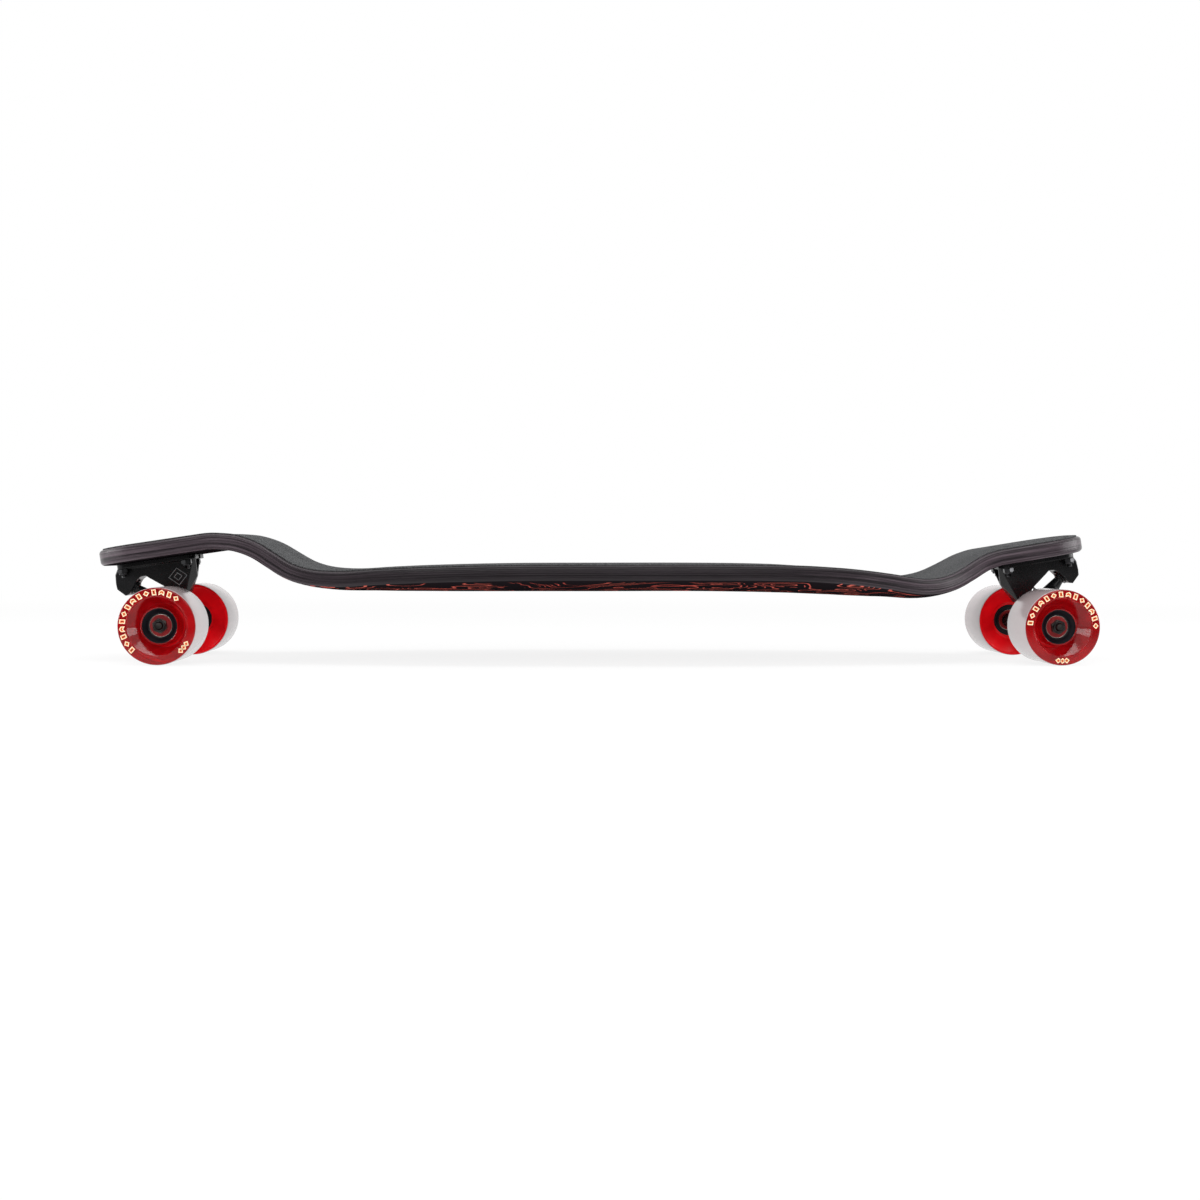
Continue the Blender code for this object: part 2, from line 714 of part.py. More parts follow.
def truck_meshes():
    """The shapes that both trucks share."""
    half_ring = RING_THICKNESS / 2
    high_bush = half_ring + GAP
    low_bush = -half_ring - GAP
    washer_seat = low_bush - BUSHING_HEIGHT - GAP
    board_bush_top = SEAT_DISTANCE - 2 * GAP - WASHER_THICKNESS
    bore = KINGPIN_RADIUS + GAP
    rim = CUP_RADIUS + 0.0008
    cup_end = PIVOT_NOSE_END + 0.0018
    nose_room = PIVOT_NOSE_RADIUS + 0.0004
    return {
        "baseplate": (baseplate(), BLACK_METAL),
        "hanger": (hanger(), BLACK_METAL),
        "kingpin": (kingpin(), STEEL),
        "kingpin_nut": (nut(KINGPIN_HEAD_WIDTH, KINGPIN_NUT_HEIGHT, bore), STEEL),
        "kingpin_nut_seat": washer_seat - WASHER_THICKNESS - GAP,
        "board_washer": (
            ring(
                bore,
                BOARD_WASHER_RADIUS,
                board_bush_top + GAP,
                board_bush_top + GAP + WASHER_THICKNESS,
                20,
            ),
            STEEL,
        ),
        "board_bushing": (
            bushing(BUSHING_RADIUS, BUSHING_RADIUS, high_bush, board_bush_top),
            BLACK_URETHANE,
        ),
        "road_bushing": (
            bushing(*ROAD_BUSHING_RADII, low_bush - BUSHING_HEIGHT, low_bush),
            BLACK_URETHANE,
        ),
        "road_washer": (
            ring(bore, ROAD_WASHER_RADIUS, washer_seat - WASHER_THICKNESS, washer_seat, 20),
            STEEL,
        ),
        "pivot_cup": (
            turned(
                (
                    (0, cup_end),
                    (CUP_RADIUS - 0.001, cup_end),
                    (CUP_RADIUS, cup_end - 0.001),
                    (CUP_RADIUS, PIVOT_MOUTH - GAP),
                    (rim, PIVOT_MOUTH - GAP),
                    (rim, PIVOT_MOUTH - 0.0012),
                    (nose_room, PIVOT_MOUTH - 0.0012),
                    (nose_room, PIVOT_NOSE_END - 0.0045),
                    (nose_room - 0.0030, PIVOT_NOSE_END + 0.0004),
                    (0, PIVOT_NOSE_END + 0.0004),
                ),
                20,
                False,
            ),
            BLACK_URETHANE,
        ),
        "axle": (rod(AXLE_RADIUS, -AXLE_HALF_LENGTH, AXLE_HALF_LENGTH, 16), DARK_STEEL),
        "bolt": (bolt(PLATE_HEIGHT + DECK_THICKNESS + 0.0008), DARK_STEEL),
        "bolt_nut": (nut(BOLT_NUT_WIDTH, BOLT_NUT_HEIGHT, BOLT_RADIUS + GAP), DARK_STEEL),
        "axle_nut": (nut(AXLE_NUT_WIDTH, AXLE_NUT_HEIGHT, AXLE_RADIUS + GAP), DARK_STEEL),
    }


def make_truck(end, place, shapes, wheel_shapes, turned_round):
    """One truck: fixed parts, the hanger that steers, and its two wheels."""
    frame = pivot(f"{end}_truck", place)
    steering = pivot(f"{end}_steering", steering_frame(), frame)
    node(f"{end}_baseplate", *shapes["baseplate"], frame, angle=30)
    along = steering_frame() @ Matrix.Rotation(math.pi / 2, 4, "Y")
    node(f"{end}_pivot_cup", *shapes["pivot_cup"], frame, along)
    for part in ("kingpin", "board_washer", "board_bushing", "road_bushing", "road_washer"):
        node(f"{end}_{part}", *shapes[part], frame, steering_frame())
    nut_place = Matrix.Translation((0, 0, shapes["kingpin_nut_seat"])) @ Matrix.Rotation(
        math.pi, 4, "X"
    )
    node(f"{end}_kingpin_nut", *shapes["kingpin_nut"], frame, steering_frame() @ nut_place)
    nut_top = PLATE_HEIGHT - PLATE_THICKNESS - GAP
    for number, at in enumerate(bolt_places(), 1):
        node(f"{end}_bolt_{number}", *shapes["bolt"], frame, Matrix.Translation(at))
        under = Matrix.Translation(at + Vector((0, 0, nut_top))) @ Matrix.Rotation(math.pi, 4, "X")
        node(f"{end}_bolt_nut_{number}", *shapes["bolt_nut"], frame, under)
    node(f"{end}_hanger", *shapes["hanger"], steering, angle=30)
    axle_centre = steering_frame().inverted()
    across = axle_centre @ Matrix.Rotation(math.pi / 2, 4, "X")
    node(f"{end}_axle", *shapes["axle"], steering, across)
    for side in (-1, 1):
        name = "left" if (side > 0) != turned_round else "right"
        outward = Matrix.Rotation(-side * math.pi / 2, 4, "X")
        hub = axle_centre @ Matrix.Translation((0, side * WHEEL_Y, 0)) @ outward
        nut_seat = Matrix.Translation((0, 0, BEARING_OUTER_FACE + GAP))
        node(f"{end}_{name}_axle_nut", *shapes["axle_nut"], steering, hub @ nut_seat)
        spin = pivot(f"{end}_{name}_spin", hub, steering)
        make_wheel(f"{end}_{name}", spin, wheel_shapes)


# Wheel ------------------------------------------------------------------------------------------


def wheel_meshes():
    """A wheel's shapes about Z, with the outer face up."""
    half = WHEEL_WIDTH / 2
    outer_side = (
        (CORE_RADIUS, CORE_COLLAR),
        (DISH_RADIUS, half),
        (TYRE_RADIUS - 0.0016, half),
        (TYRE_RADIUS, half - 0.0028),
    )
    inner_side = (
        (TYRE_RADIUS, 0.0012 - half),
        (TYRE_RADIUS - 0.0008, -half),
        (INNER_DISH[0], -half),
        (INNER_DISH[1], -CORE_HALF_WIDTH - 0.0012),
        (CORE_RADIUS, -CORE_HALF_WIDTH),
    )
    tyre = turned((*outer_side, *inner_side), 32, True)
    seat = BEARING_RADIUS + GAP
    outer = CORE_RADIUS - GAP
    inner_face = BEARING_OUTER_FACE - BEARING_WIDTH - GAP
    core = turned(
        (
            (outer, CORE_COLLAR),
            (outer, -CORE_HALF_WIDTH),
            (seat, -CORE_HALF_WIDTH),
            (seat, -inner_face),
            (CORE_BORE, -inner_face),
            (CORE_BORE, inner_face),
            (seat, inner_face),
            (seat, CORE_HALF_WIDTH),
            (CORE_LEDGE_RADIUS, CORE_HALF_WIDTH),
        ),
        20,
        True,
    )
    bearing_inner_face = BEARING_OUTER_FACE - BEARING_WIDTH
    bearing = ring(BEARING_BORE, BEARING_RADIUS, bearing_inner_face, BEARING_OUTER_FACE, 16)
    return {
        "tyre": (tyre, URETHANE),
        "core": (core, BLACK_PLASTIC),
        "bearing": (bearing, STEEL),
    }


def make_wheel(name, spin, shapes):
    node(f"{name}_tyre", *shapes["tyre"], spin)
    node(f"{name}_core", *shapes["core"], spin)
    node(f"{name}_outer_bearing", *shapes["bearing"], spin)
    node(f"{name}_inner_bearing", *shapes["bearing"], spin, Matrix.Rotation(math.pi, 4, "X"))


def truck_place(axle_x, tilt, turned_round):
    turn = Matrix.Rotation(math.pi if turned_round else 0.0, 4, "Z")
    lean = Matrix.Rotation(-tilt, 4, "Y")
    return Matrix.Translation((axle_x, 0, AXLE_HEIGHT)) @ lean @ turn


clear_scene()
PARTS = collection("drop_platform_longboard")
CUTTERS = collection("cutters")
rear_place = truck_place(REAR_AXLE_X, REAR_TILT, True)
front_place = truck_place(REAR_AXLE_X + WHEELBASE, FRONT_TILT, False)
make_deck((rear_place, front_place))
truck_shapes = truck_meshes()
tyre_shapes = wheel_meshes()
make_truck("rear", rear_place, truck_shapes, tyre_shapes, True)
make_truck("front", front_place, truck_shapes, tyre_shapes, False)
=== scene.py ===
"""Drop-platform longboard: the finished look of the deck, the two trucks and the four wheels.

Metres and +Z up. X runs from the tail to the nose, and +Y is the rider's left.

Truck pieces are shaped in the truck's own frame, with its origin in the middle of the axle, X
pointing towards the nearer tip along the mounting plate, and Z square to the plate. The steering
frame stands in the middle of the hanger's ring: its X is the steering axis, its Z the kingpin.
Wheel pieces are shaped about Z, with the outer face up.
"""

import math

import bmesh
import bpy
from mathutils import Matrix, Vector


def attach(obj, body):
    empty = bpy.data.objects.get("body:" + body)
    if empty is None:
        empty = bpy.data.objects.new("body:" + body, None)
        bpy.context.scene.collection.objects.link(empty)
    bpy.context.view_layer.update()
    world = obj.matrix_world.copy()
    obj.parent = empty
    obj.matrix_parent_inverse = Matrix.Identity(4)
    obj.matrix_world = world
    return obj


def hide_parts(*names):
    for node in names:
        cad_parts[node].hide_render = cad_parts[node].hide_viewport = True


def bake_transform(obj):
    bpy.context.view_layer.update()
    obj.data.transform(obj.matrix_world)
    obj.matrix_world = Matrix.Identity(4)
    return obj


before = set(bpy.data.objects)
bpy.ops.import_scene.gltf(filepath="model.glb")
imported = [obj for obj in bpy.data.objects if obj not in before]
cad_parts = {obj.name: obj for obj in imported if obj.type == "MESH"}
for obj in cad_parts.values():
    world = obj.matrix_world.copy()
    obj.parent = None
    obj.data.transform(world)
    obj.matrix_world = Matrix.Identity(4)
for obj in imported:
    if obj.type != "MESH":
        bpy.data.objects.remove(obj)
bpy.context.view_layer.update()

# Sizes shared with the frame ----------------------------------------------------------------------

WHEELBASE = 0.870
REAR_AXLE_X = -0.4215
FRONT_AXLE_X = REAR_AXLE_X + WHEELBASE
AXLE_HEIGHT = 0.037
REAR_TILT = math.radians(8.6)
FRONT_TILT = math.radians(9.4)
CLEARANCE = 0.0003  # between solid neighbours

DECK_LENGTH = 0.9936
DECK_MIDDLE_X = -0.0011
DECK_THICKNESS = 0.0155
RAIL_ROUNDING = 0.0038
TIP_CORNER = 0.044
GRIP_THICKNESS = 0.0008
GRIP_LIFT = 0.0003
FLAT_TAIL_END = -0.388
TAIL_BEND_END = -0.235
NOSE_BEND_START = 0.225
FLAT_NOSE_START = 0.404

BEND_STEP = 0.004
MIDDLE_STEP = 0.010
BOARD_COLUMNS = 12

# The rail's height, the plan's half width, and how far the middle is pressed down, each along X
RAIL_STATIONS = (
    (-0.360, 0.1246),
    (-0.345, 0.1215),
    (-0.330, 0.1156),
    (-0.314, 0.1060),
    (-0.299, 0.0972),
    (-0.284, 0.0922),
    (-0.268, 0.0900),
    (-0.248, 0.0896),
    (-0.217, 0.0917),
    (-0.171, 0.0939),
    (-0.089, 0.0961),
    (0.014, 0.0968),
    (0.116, 0.0971),
    (0.190, 0.0963),
    (0.234, 0.0938),
    (0.260, 0.0912),
    (0.285, 0.0879),
    (0.305, 0.0847),
    (0.321, 0.0833),
    (0.336, 0.0845),
    (0.351, 0.0886),
    (0.367, 0.0966),
    (0.382, 0.1050),
    (0.393, 0.1094),
)
WIDTH_STATIONS = (
    (-0.495, 0.062),
    (-0.437, 0.063),
    (-0.396, 0.065),
    (-0.365, 0.071),
    (-0.340, 0.077),
    (-0.314, 0.083),
    (-0.294, 0.090),
    (-0.263, 0.099),
    (-0.220, 0.110),
    (-0.160, 0.118),
    (-0.080, 0.122),
    (0.015, 0.123),
    (0.110, 0.122),
    (0.180, 0.117),
    (0.240, 0.108),
    (0.280, 0.098),
    (0.310, 0.090),
    (0.336, 0.080),
    (0.362, 0.067),
    (0.387, 0.059),
    (0.423, 0.058),
    (0.495, 0.055),
)
DISH_STATIONS = (
    (-0.388, 0.0),
    (-0.350, 0.001),
    (-0.300, 0.0025),
    (-0.255, 0.0045),
    (-0.190, 0.009),
    (-0.090, 0.012),
    (0.100, 0.0125),
    (0.200, 0.013),
    (0.250, 0.0115),
    (0.280, 0.009),
    (0.305, 0.006),
    (0.340, 0.005),
    (0.370, 0.003),
    (0.404, 0.0),
)
DISH_MOST = 0.013

# Mounting bolts, and threads
HOLE_PITCH_X = 0.0635
HOLE_PITCH_Y = 0.0413
HOLE_CENTRE_X = 0.01335
BOLT_RADIUS = 0.0024
BOLT_HEAD_RADIUS = 0.0048
BOLT_LENGTH = 0.0300
BOLT_THREAD_TOP = 0.0140
BOLT_PITCH = 0.0008
BOLT_NUT_WIDTH = 0.0095
BOLT_NUT_HEIGHT = 0.0056
FINE_PITCH = 0.00106

# Baseplate, in the truck's frame
PLATE_TOP = 0.0658
PLATE_THICKNESS = 0.005
PLATE_INNER_END = -0.0275
PLATE_OUTER_END = 0.0508
PLATE_HALF_WIDTH = 0.028
PLATE_CORNER = 0.010
DECK_TOP = PLATE_TOP + GRIP_LIFT + DECK_THICKNESS
BODY_HALF_WIDTH = 0.0142
BODY_CORNER = 0.005
FLANK_LEAN = math.atan(0.062)
PROW_TOP = (-0.0260, PLATE_TOP - 0.001)
PROW_FOOT = (-0.0228, 0.0435)
PROW_KEEL = (-0.0236, 0.0435)
PROW_LEAN = math.radians(22.6)
PROW_SPREAD = 2.14
BODY_ARCH = ((0.0258, 0.0508), (0.0308, 0.0506))
BODY_OUTER_END = (
    (0.0490, 0.0338),
    (0.0563, 0.0412),
    (0.0567, 0.0470),
    (0.0560, 0.0560),
    (0.0535, 0.0605),
    (0.0504, PLATE_TOP - 0.001),
)

# Steering parts: distances from the middle of the hanger's ring
STEERING_SLOPE = math.radians(38)
RING_CENTRE = (0.0100, 0.0180)
SEAT_DISTANCE = 0.0159
SEAT_REACH = (-0.0125, 0.0275)
PIVOT_MOUTH = 0.0381
PIVOT_MOUTH_REACH = (0.0088, -0.0085)
RING_RADIUS = 0.0170
RING_BORE = 0.0066
HALF_RING = 0.0045
KINGPIN_RADIUS = 0.0047
KINGPIN_HEAD_SEAT = 0.0329
KINGPIN_END = -0.0246
KINGPIN_THREAD_TOP = -0.012
KINGPIN_HEX = 0.0143
NUT_HEIGHT = 0.0066
WASHER_THICKNESS = 0.0015
HEAD_POCKET_RADIUS = 0.0086
HEAD_POCKET_DEPTH = 0.0063
BUSHING_HEIGHT = 0.0090
BUSHING_SADDLE = 0.0128
PIVOT_NOSE_END = 0.0486
PIVOT_NOSE_ROOT = 0.0355
PIVOT_NOSE_RADIUS = 0.0055
PIVOT_HOLE_RADIUS = 0.0079
STEM_STATIONS = ((0.0088, 0.0110), (0.0046, 0.0365))
STEM_DROP = 0.0013
STEM_FALL = math.radians(3.8)
HALF_BEAM = (
    (0.0105, 0.0005),
    (0.0105, 0.0150),
    (0.0088, 0.0330),
    (0.0075, 0.0480),
    (0.0072, 0.0590),
    (0.0078, 0.0606),
    (0.0078, 0.0658),
)
HALF_WEB = 0.0035
AXLE_RADIUS = 0.0039
AXLE_HALF_LENGTH = 0.0995
AXLE_THREAD_ROOT = 0.0895
AXLE_NUT_WIDTH = 0.0127

# Wheels and bearings
WHEEL_Y = 0.078
WHEEL_HALF_WIDTH = 0.029
TYRE_RADIUS = 0.037
CORE_RADIUS = 0.0172
CORE_HALF_WIDTH = 0.0135
CORE_COLLAR = 0.0170
DISH_RADIUS = 0.0278
BEARING_RADIUS = 0.0110
BEARING_OUTER_FACE = 0.01185
BEARING_INNER_FACE = 0.00485
BEARING_BORE = 0.0042
INNER_RACE_LIP = 0.0056
OUTER_RACE_LIP = 0.0106
RIM_BEAD = 0.0003
SPEED_WASHER = 0.0007
SPEED_WASHER_GAP = 0.0002


# Hand tools ---------------------------------------------------------------------------------------


def only(obj):
    """Selects this object alone."""
    bpy.ops.object.select_all(action="DESELECT")
    obj.select_set(True)
    bpy.context.view_layer.objects.active = obj


def added(name, primitive, **settings):
    """A new primitive, selected alone and placed through its mesh."""
    bpy.ops.object.select_all(action="DESELECT")
    primitive(**settings)
    obj = bpy.context.object
    obj.name = name
    bpy.ops.object.transform_apply(location=True, rotation=True, scale=True)
    return obj


def pick(obj, kind, test):
    """In edit mode, selects the points, edges or faces that pass the test, and nothing else."""
    bpy.ops.mesh.select_mode(type=kind)
    bpy.ops.mesh.select_all(action="DESELECT")
    bm = bmesh.from_edit_mesh(obj.data)
    items = {"VERT": bm.verts, "EDGE": bm.edges, "FACE": bm.faces}[kind]
    for item in items:
        if test(item):
            item.select_set(True)
    bm.select_flush_mode()
    bmesh.update_edit_mesh(obj.data)


def edit(obj):
    """Opens the object alone in edit mode, until done()."""
    only(obj)
    bpy.ops.object.mode_set(mode="EDIT")


def done():
    """Closes edit mode."""
    bpy.ops.object.mode_set(mode="OBJECT")


def modified(obj, kind, **settings):
    """The object after one modifier, applied."""
    only(obj)
    modifier = obj.modifiers.new(kind, kind)
    for name, value in settings.items():
        setattr(modifier, name, value)
    bpy.ops.object.modifier_apply(modifier=modifier.name)
    return obj


def cut(obj, *tools, operation="DIFFERENCE"):
    """The object after Boolean cuts by the tools, which are used up."""
    for tool in tools:
        modified(obj, "BOOLEAN", operation=operation, object=tool, solver="EXACT")
        dropped(tool)
    return obj


def joined(name, *parts):
    """The parts as one object, named."""
    bpy.ops.object.select_all(action="DESELECT")
    for part in parts:
        part.select_set(True)
    bpy.context.view_layer.objects.active = parts[0]
    bpy.ops.object.join()
    parts[0].name = name
    return parts[0]


def outward(obj):
    """The object with doubled points merged and its faces turned outwards."""
    edit(obj)
    bpy.ops.mesh.select_all(action="SELECT")
    bpy.ops.mesh.remove_doubles(threshold=1e-6)
    bpy.ops.mesh.normals_make_consistent(inside=False)
    done()
    return obj


def laid(obj, matrix):
    """The object with its mesh moved by the matrix."""
    obj.data.transform(matrix)
    obj.data.update()
    return obj


def copied(obj, name, matrix=Matrix()):
    """A copy with its own mesh, moved by the matrix."""
    twin = obj.copy()
    twin.data = obj.data.copy()
    twin.name = name
    bpy.context.scene.collection.objects.link(twin)
    return laid(twin, matrix)


def turned(name, profile, steps=64, hollow=True):
    """A round piece drawn out through the profile's (radius, height) points, about Z."""
    radius, height = profile[0]
    obj = added(
        name,
        bpy.ops.mesh.primitive_circle_add,
        vertices=steps,
        radius=radius,
        fill_type="NOTHING" if hollow else "NGON",
        location=(0, 0, height),
    )
    edit(obj)
    bpy.ops.mesh.select_all(action="SELECT")
    path = [*profile, profile[0]] if hollow else profile
    for (radius, height), (next_radius, next_height) in zip(path, path[1:]):
        rise = {"value": (0, 0, next_height - height)}
        bpy.ops.mesh.extrude_region_move(TRANSFORM_OT_translate=rise)
        scale = next_radius / radius
        bpy.ops.transform.resize(value=(scale, scale, 1), center_override=(0, 0, next_height))
    done()
    return outward(obj)


def solid(name, profile, steps=48):
    """A round piece with closed ends, through the profile's points from one end to the other."""
    return turned(name, profile, steps, hollow=False)


def dropped(*objects):
    """Removes pieces that have been copied."""
    for obj in objects:
        bpy.data.objects.remove(obj, do_unlink=True)


def softened(corners, radius, steps=4):
    """A profile whose (x, y, amount) corners are rounded, each by its amount of the radius."""
    points = []
    count = len(corners)
    for index, (x, y, amount) in enumerate(corners):
        if not amount:
            points.append((x, y))
            continue
        here = Vector((x, y))
        before = Vector(corners[index - 1][:2]) - here
        after = Vector(corners[(index + 1) % count][:2]) - here
        reach = min(radius * amount, 0.45 * before.length, 0.45 * after.length)
        start = here + before.normalized() * reach
        end = here + after.normalized() * reach
        for step in range(steps + 1):
            t = step / steps
            points.append(tuple(start * (1 - t) ** 2 + here * 2 * t * (1 - t) + end * t**2))
    return points


def move_point(obj, index, place):
    """In edit mode, moves one point of the mesh to its place."""
    pick(obj, "VERT", lambda vert: vert.index == index)
    here = next(vert.co.copy() for vert in bmesh.from_edit_mesh(obj.data).verts if vert.select)
    bpy.ops.transform.translate(value=place - here)


def plate(name, outline, low_y, high_y):
    """A flat outline of (x, z) points, thick along Y."""
    middle = sum(x for x, _ in outline) / len(outline), sum(z for _, z in outline) / len(outline)
    obj = added(
        name,
        bpy.ops.mesh.primitive_circle_add,
        vertices=len(outline),
        radius=0.01,
        fill_type="NGON",
        rotation=(math.pi / 2, 0, 0),
        location=(middle[0], low_y, middle[1]),
    )
    edit(obj)
    for index, (x, z) in enumerate(outline):
        move_point(obj, index, Vector((x, low_y, z)))
    bpy.ops.mesh.select_all(action="SELECT")
    deep = {"value": (0, high_y - low_y, 0)}
    bpy.ops.mesh.extrude_region_move(TRANSFORM_OT_translate=deep)
    done()
    return outward(obj)


def outline_mark(corners, margin, stroke):
    """A closed line round the corners, flat in XY, starting a margin in from them."""
    mark = added(
        "mark",
        bpy.ops.mesh.primitive_circle_add,
        vertices=len(corners),
        radius=0.01,
        fill_type="NGON",
    )
    edit(mark)
    for index, (x, y) in enumerate(corners):
        move_point(mark, index, Vector((x, y, 0)))
    bpy.ops.mesh.select_all(action="SELECT")
    if margin:
        bpy.ops.mesh.inset(thickness=margin, depth=0)
        bpy.ops.mesh.select_all(action="INVERT")
        bpy.ops.mesh.delete(type="FACE")
        bpy.ops.mesh.select_all(action="SELECT")
    bpy.ops.mesh.inset(thickness=stroke, depth=0)
    bpy.ops.mesh.delete(type="FACE")
    done()
    return mark


def thickened(mark, depth):
    """The flat mark raised into a thin solid."""
    edit(mark)
    bpy.ops.mesh.select_all(action="SELECT")
    bpy.ops.mesh.extrude_region_move(TRANSFORM_OT_translate={"value": (0, 0, depth)})
    done()
    return outward(mark)


def melted(obj, grain, softening, keep):
    """Overlapping solids as one casting, with soft inner and outer corners."""
    modified(obj, "REMESH", mode="VOXEL", voxel_size=grain)
    modified(obj, "SMOOTH", factor=0.5, iterations=softening)
    modified(obj, "DECIMATE", ratio=keep)
    return obj


def hex_nut(name, width, low, high, bore=0):
    """A hexagon with its corners turned down, between the two heights."""
    reach = width / math.sqrt(3)
    crown = width / 2 * 0.97
    obj = added(
        name,
        bpy.ops.mesh.primitive_cylinder_add,
        vertices=6,
        radius=reach,
        depth=high - low,
        location=(0, 0, (low + high) / 2),
    )
    fall = (reach - crown) * 0.62
    barrel = solid(
        "barrel",
        (
            (crown, low - 1e-5),
            (reach * 1.02, low + fall),
            (reach * 1.02, high - fall),
            (crown, high + 1e-5),
        ),
    )
    cut(obj, barrel, operation="INTERSECT")
    if bore:
        cut(obj, solid("bore", ((bore, low - 0.01), (bore, high + 0.01)), 32))
    return outward(obj)


def thread(radius, low, high, pitch):
    """Profile points of a threaded rod, from its low end up."""
    depth = 0.3 * pitch
    turns = max(1, round(abs(high - low) / pitch))
    step = (high - low) / turns
    points = []
    for turn in range(turns):
        start = low + turn * step
        points += [(radius - depth, start + 0.1 * step), (radius, start + 0.5 * step)]
    return [*points, (radius - depth, high)]


def finished(obj, material, angle=40):
    """The piece with its finish, smooth shading, and its own shape's coordinates kept for it."""
    only(obj)
    bpy.ops.object.shade_smooth_by_angle(angle=math.radians(angle))
    obj.data.materials.clear()
    obj.data.materials.append(material)
    own = obj.data.attributes.new("own", "FLOAT_VECTOR", "POINT")
    own.data.foreach_set("vector", [part for vert in obj.data.vertices for part in vert.co])
    return obj


def settle(obj, body, slot, *nodes):
    """Puts the piece on its body, in place of the frame's nodes."""
    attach(obj, body)
    if nodes:
        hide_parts(*nodes)


# Finishes -----------------------------------------------------------------------------------------


class Value:
    """A socket of a finish, so that shader maths reads as an expression."""

    def __init__(self, finish, socket):
        self.finish = finish
        self.socket = socket

    def math(self, operation, *others):
        sockets = dict(enumerate((self, *others)))
        return self.finish.node("ShaderNodeMath", {"operation": operation}, sockets)

    def __add__(self, other):
        return self.math("ADD", other)

    def __sub__(self, other):
        return self.math("SUBTRACT", other)

    def __rsub__(self, other):
        return self.finish.node("ShaderNodeMath", {"operation": "SUBTRACT"}, {0: other, 1: self})

    def __mul__(self, other):
        return self.math("MULTIPLY", other)

    def __gt__(self, other):
        return self.math("GREATER_THAN", other)

    __radd__ = __add__
    __rmul__ = __mul__

    def rise(self, low, high):
        """0 below low, 1 above high, smooth between."""
        sockets = {"Value": self, "From Min": low, "From Max": high}
        return self.finish.node("ShaderNodeMapRange", {"interpolation_type": "SMOOTHSTEP"}, sockets)


class Finish:
    """A material or a world under construction."""

    def __init__(self, name, kind="materials"):
        self.owner = getattr(bpy.data, kind).new(name)
        self.owner.use_nodes = True
        self.tree = self.owner.node_tree
        self.tree.nodes.clear()

    def node(self, kind, settings=(), sockets=(), output=0):
        """A new node: its settings come first, then its sockets' values or links."""
        made = self.tree.nodes.new(kind)
        for name, setting in dict(settings).items():
            setattr(made, name, setting)
        for name, value in dict(sockets).items():
            if isinstance(value, Value):
                self.tree.links.new(value.socket, made.inputs[name])
            else:
                made.inputs[name].default_value = value
        return Value(self, made.outputs[output])

    def attribute(self, name, output):
        return self.node("ShaderNodeAttribute", {"attribute_name": name}, output=output)

    def own(self):
        """The place on the piece, in the coordinates it was shaped in."""
        return self.attribute("own", "Vector")

    def split(self, vector):
        first = self.node("ShaderNodeSeparateXYZ", sockets={0: vector})
        return [Value(self, socket) for socket in first.socket.node.outputs]

    def combine(self, x, y, z):
        return self.node("ShaderNodeCombineXYZ", sockets={0: x, 1: y, 2: z})

    def stretched(self, vector, scale):
        return self.node("ShaderNodeMapping", sockets={"Vector": vector, "Scale": scale})

    def noise(self, vector, scale, detail=3, roughness=0.5):
        sockets = {"Vector": vector, "Scale": scale, "Detail": detail, "Roughness": roughness}
        return self.node("ShaderNodeTexNoise", sockets=sockets)

    def cells(self, vector, scale):
        return self.node("ShaderNodeTexVoronoi", sockets={"Vector": vector, "Scale": scale})

    def mix(self, share, first, second):
        sockets = {0: share, 6: self.colour(first), 7: self.colour(second)}
        return self.node("ShaderNodeMix", {"data_type": "RGBA"}, sockets, output=2)

    @staticmethod
    def colour(value):
        return value if isinstance(value, Value) else (*value, 1)

    def bump(self, height, distance, strength):
        sockets = {"Height": height, "Distance": distance, "Strength": strength}
        return self.node("ShaderNodeBump", sockets=sockets)

    def principled(self, **sockets):
        """A Principled shader, from its sockets' names in lower case."""
        named = {
            name.replace("_", " ").title().replace("Ior", "IOR"): value
            for name, value in sockets.items()
        }
        named["Base Color"] = self.colour(named["Base Color"])
        return self.node("ShaderNodeBsdfPrincipled", sockets=named)

    def blend(self, share, first, second):
        return self.node("ShaderNodeMixShader", sockets={0: share, 1: first, 2: second})

    def end(self, shader, kind="Material"):
        """The finish itself, with this shader on its surface."""
        out = self.tree.nodes.new("ShaderNodeOutput" + kind)
        self.tree.links.new(shader.socket, out.inputs["Surface"])
        return self.owner


PLIES = 7


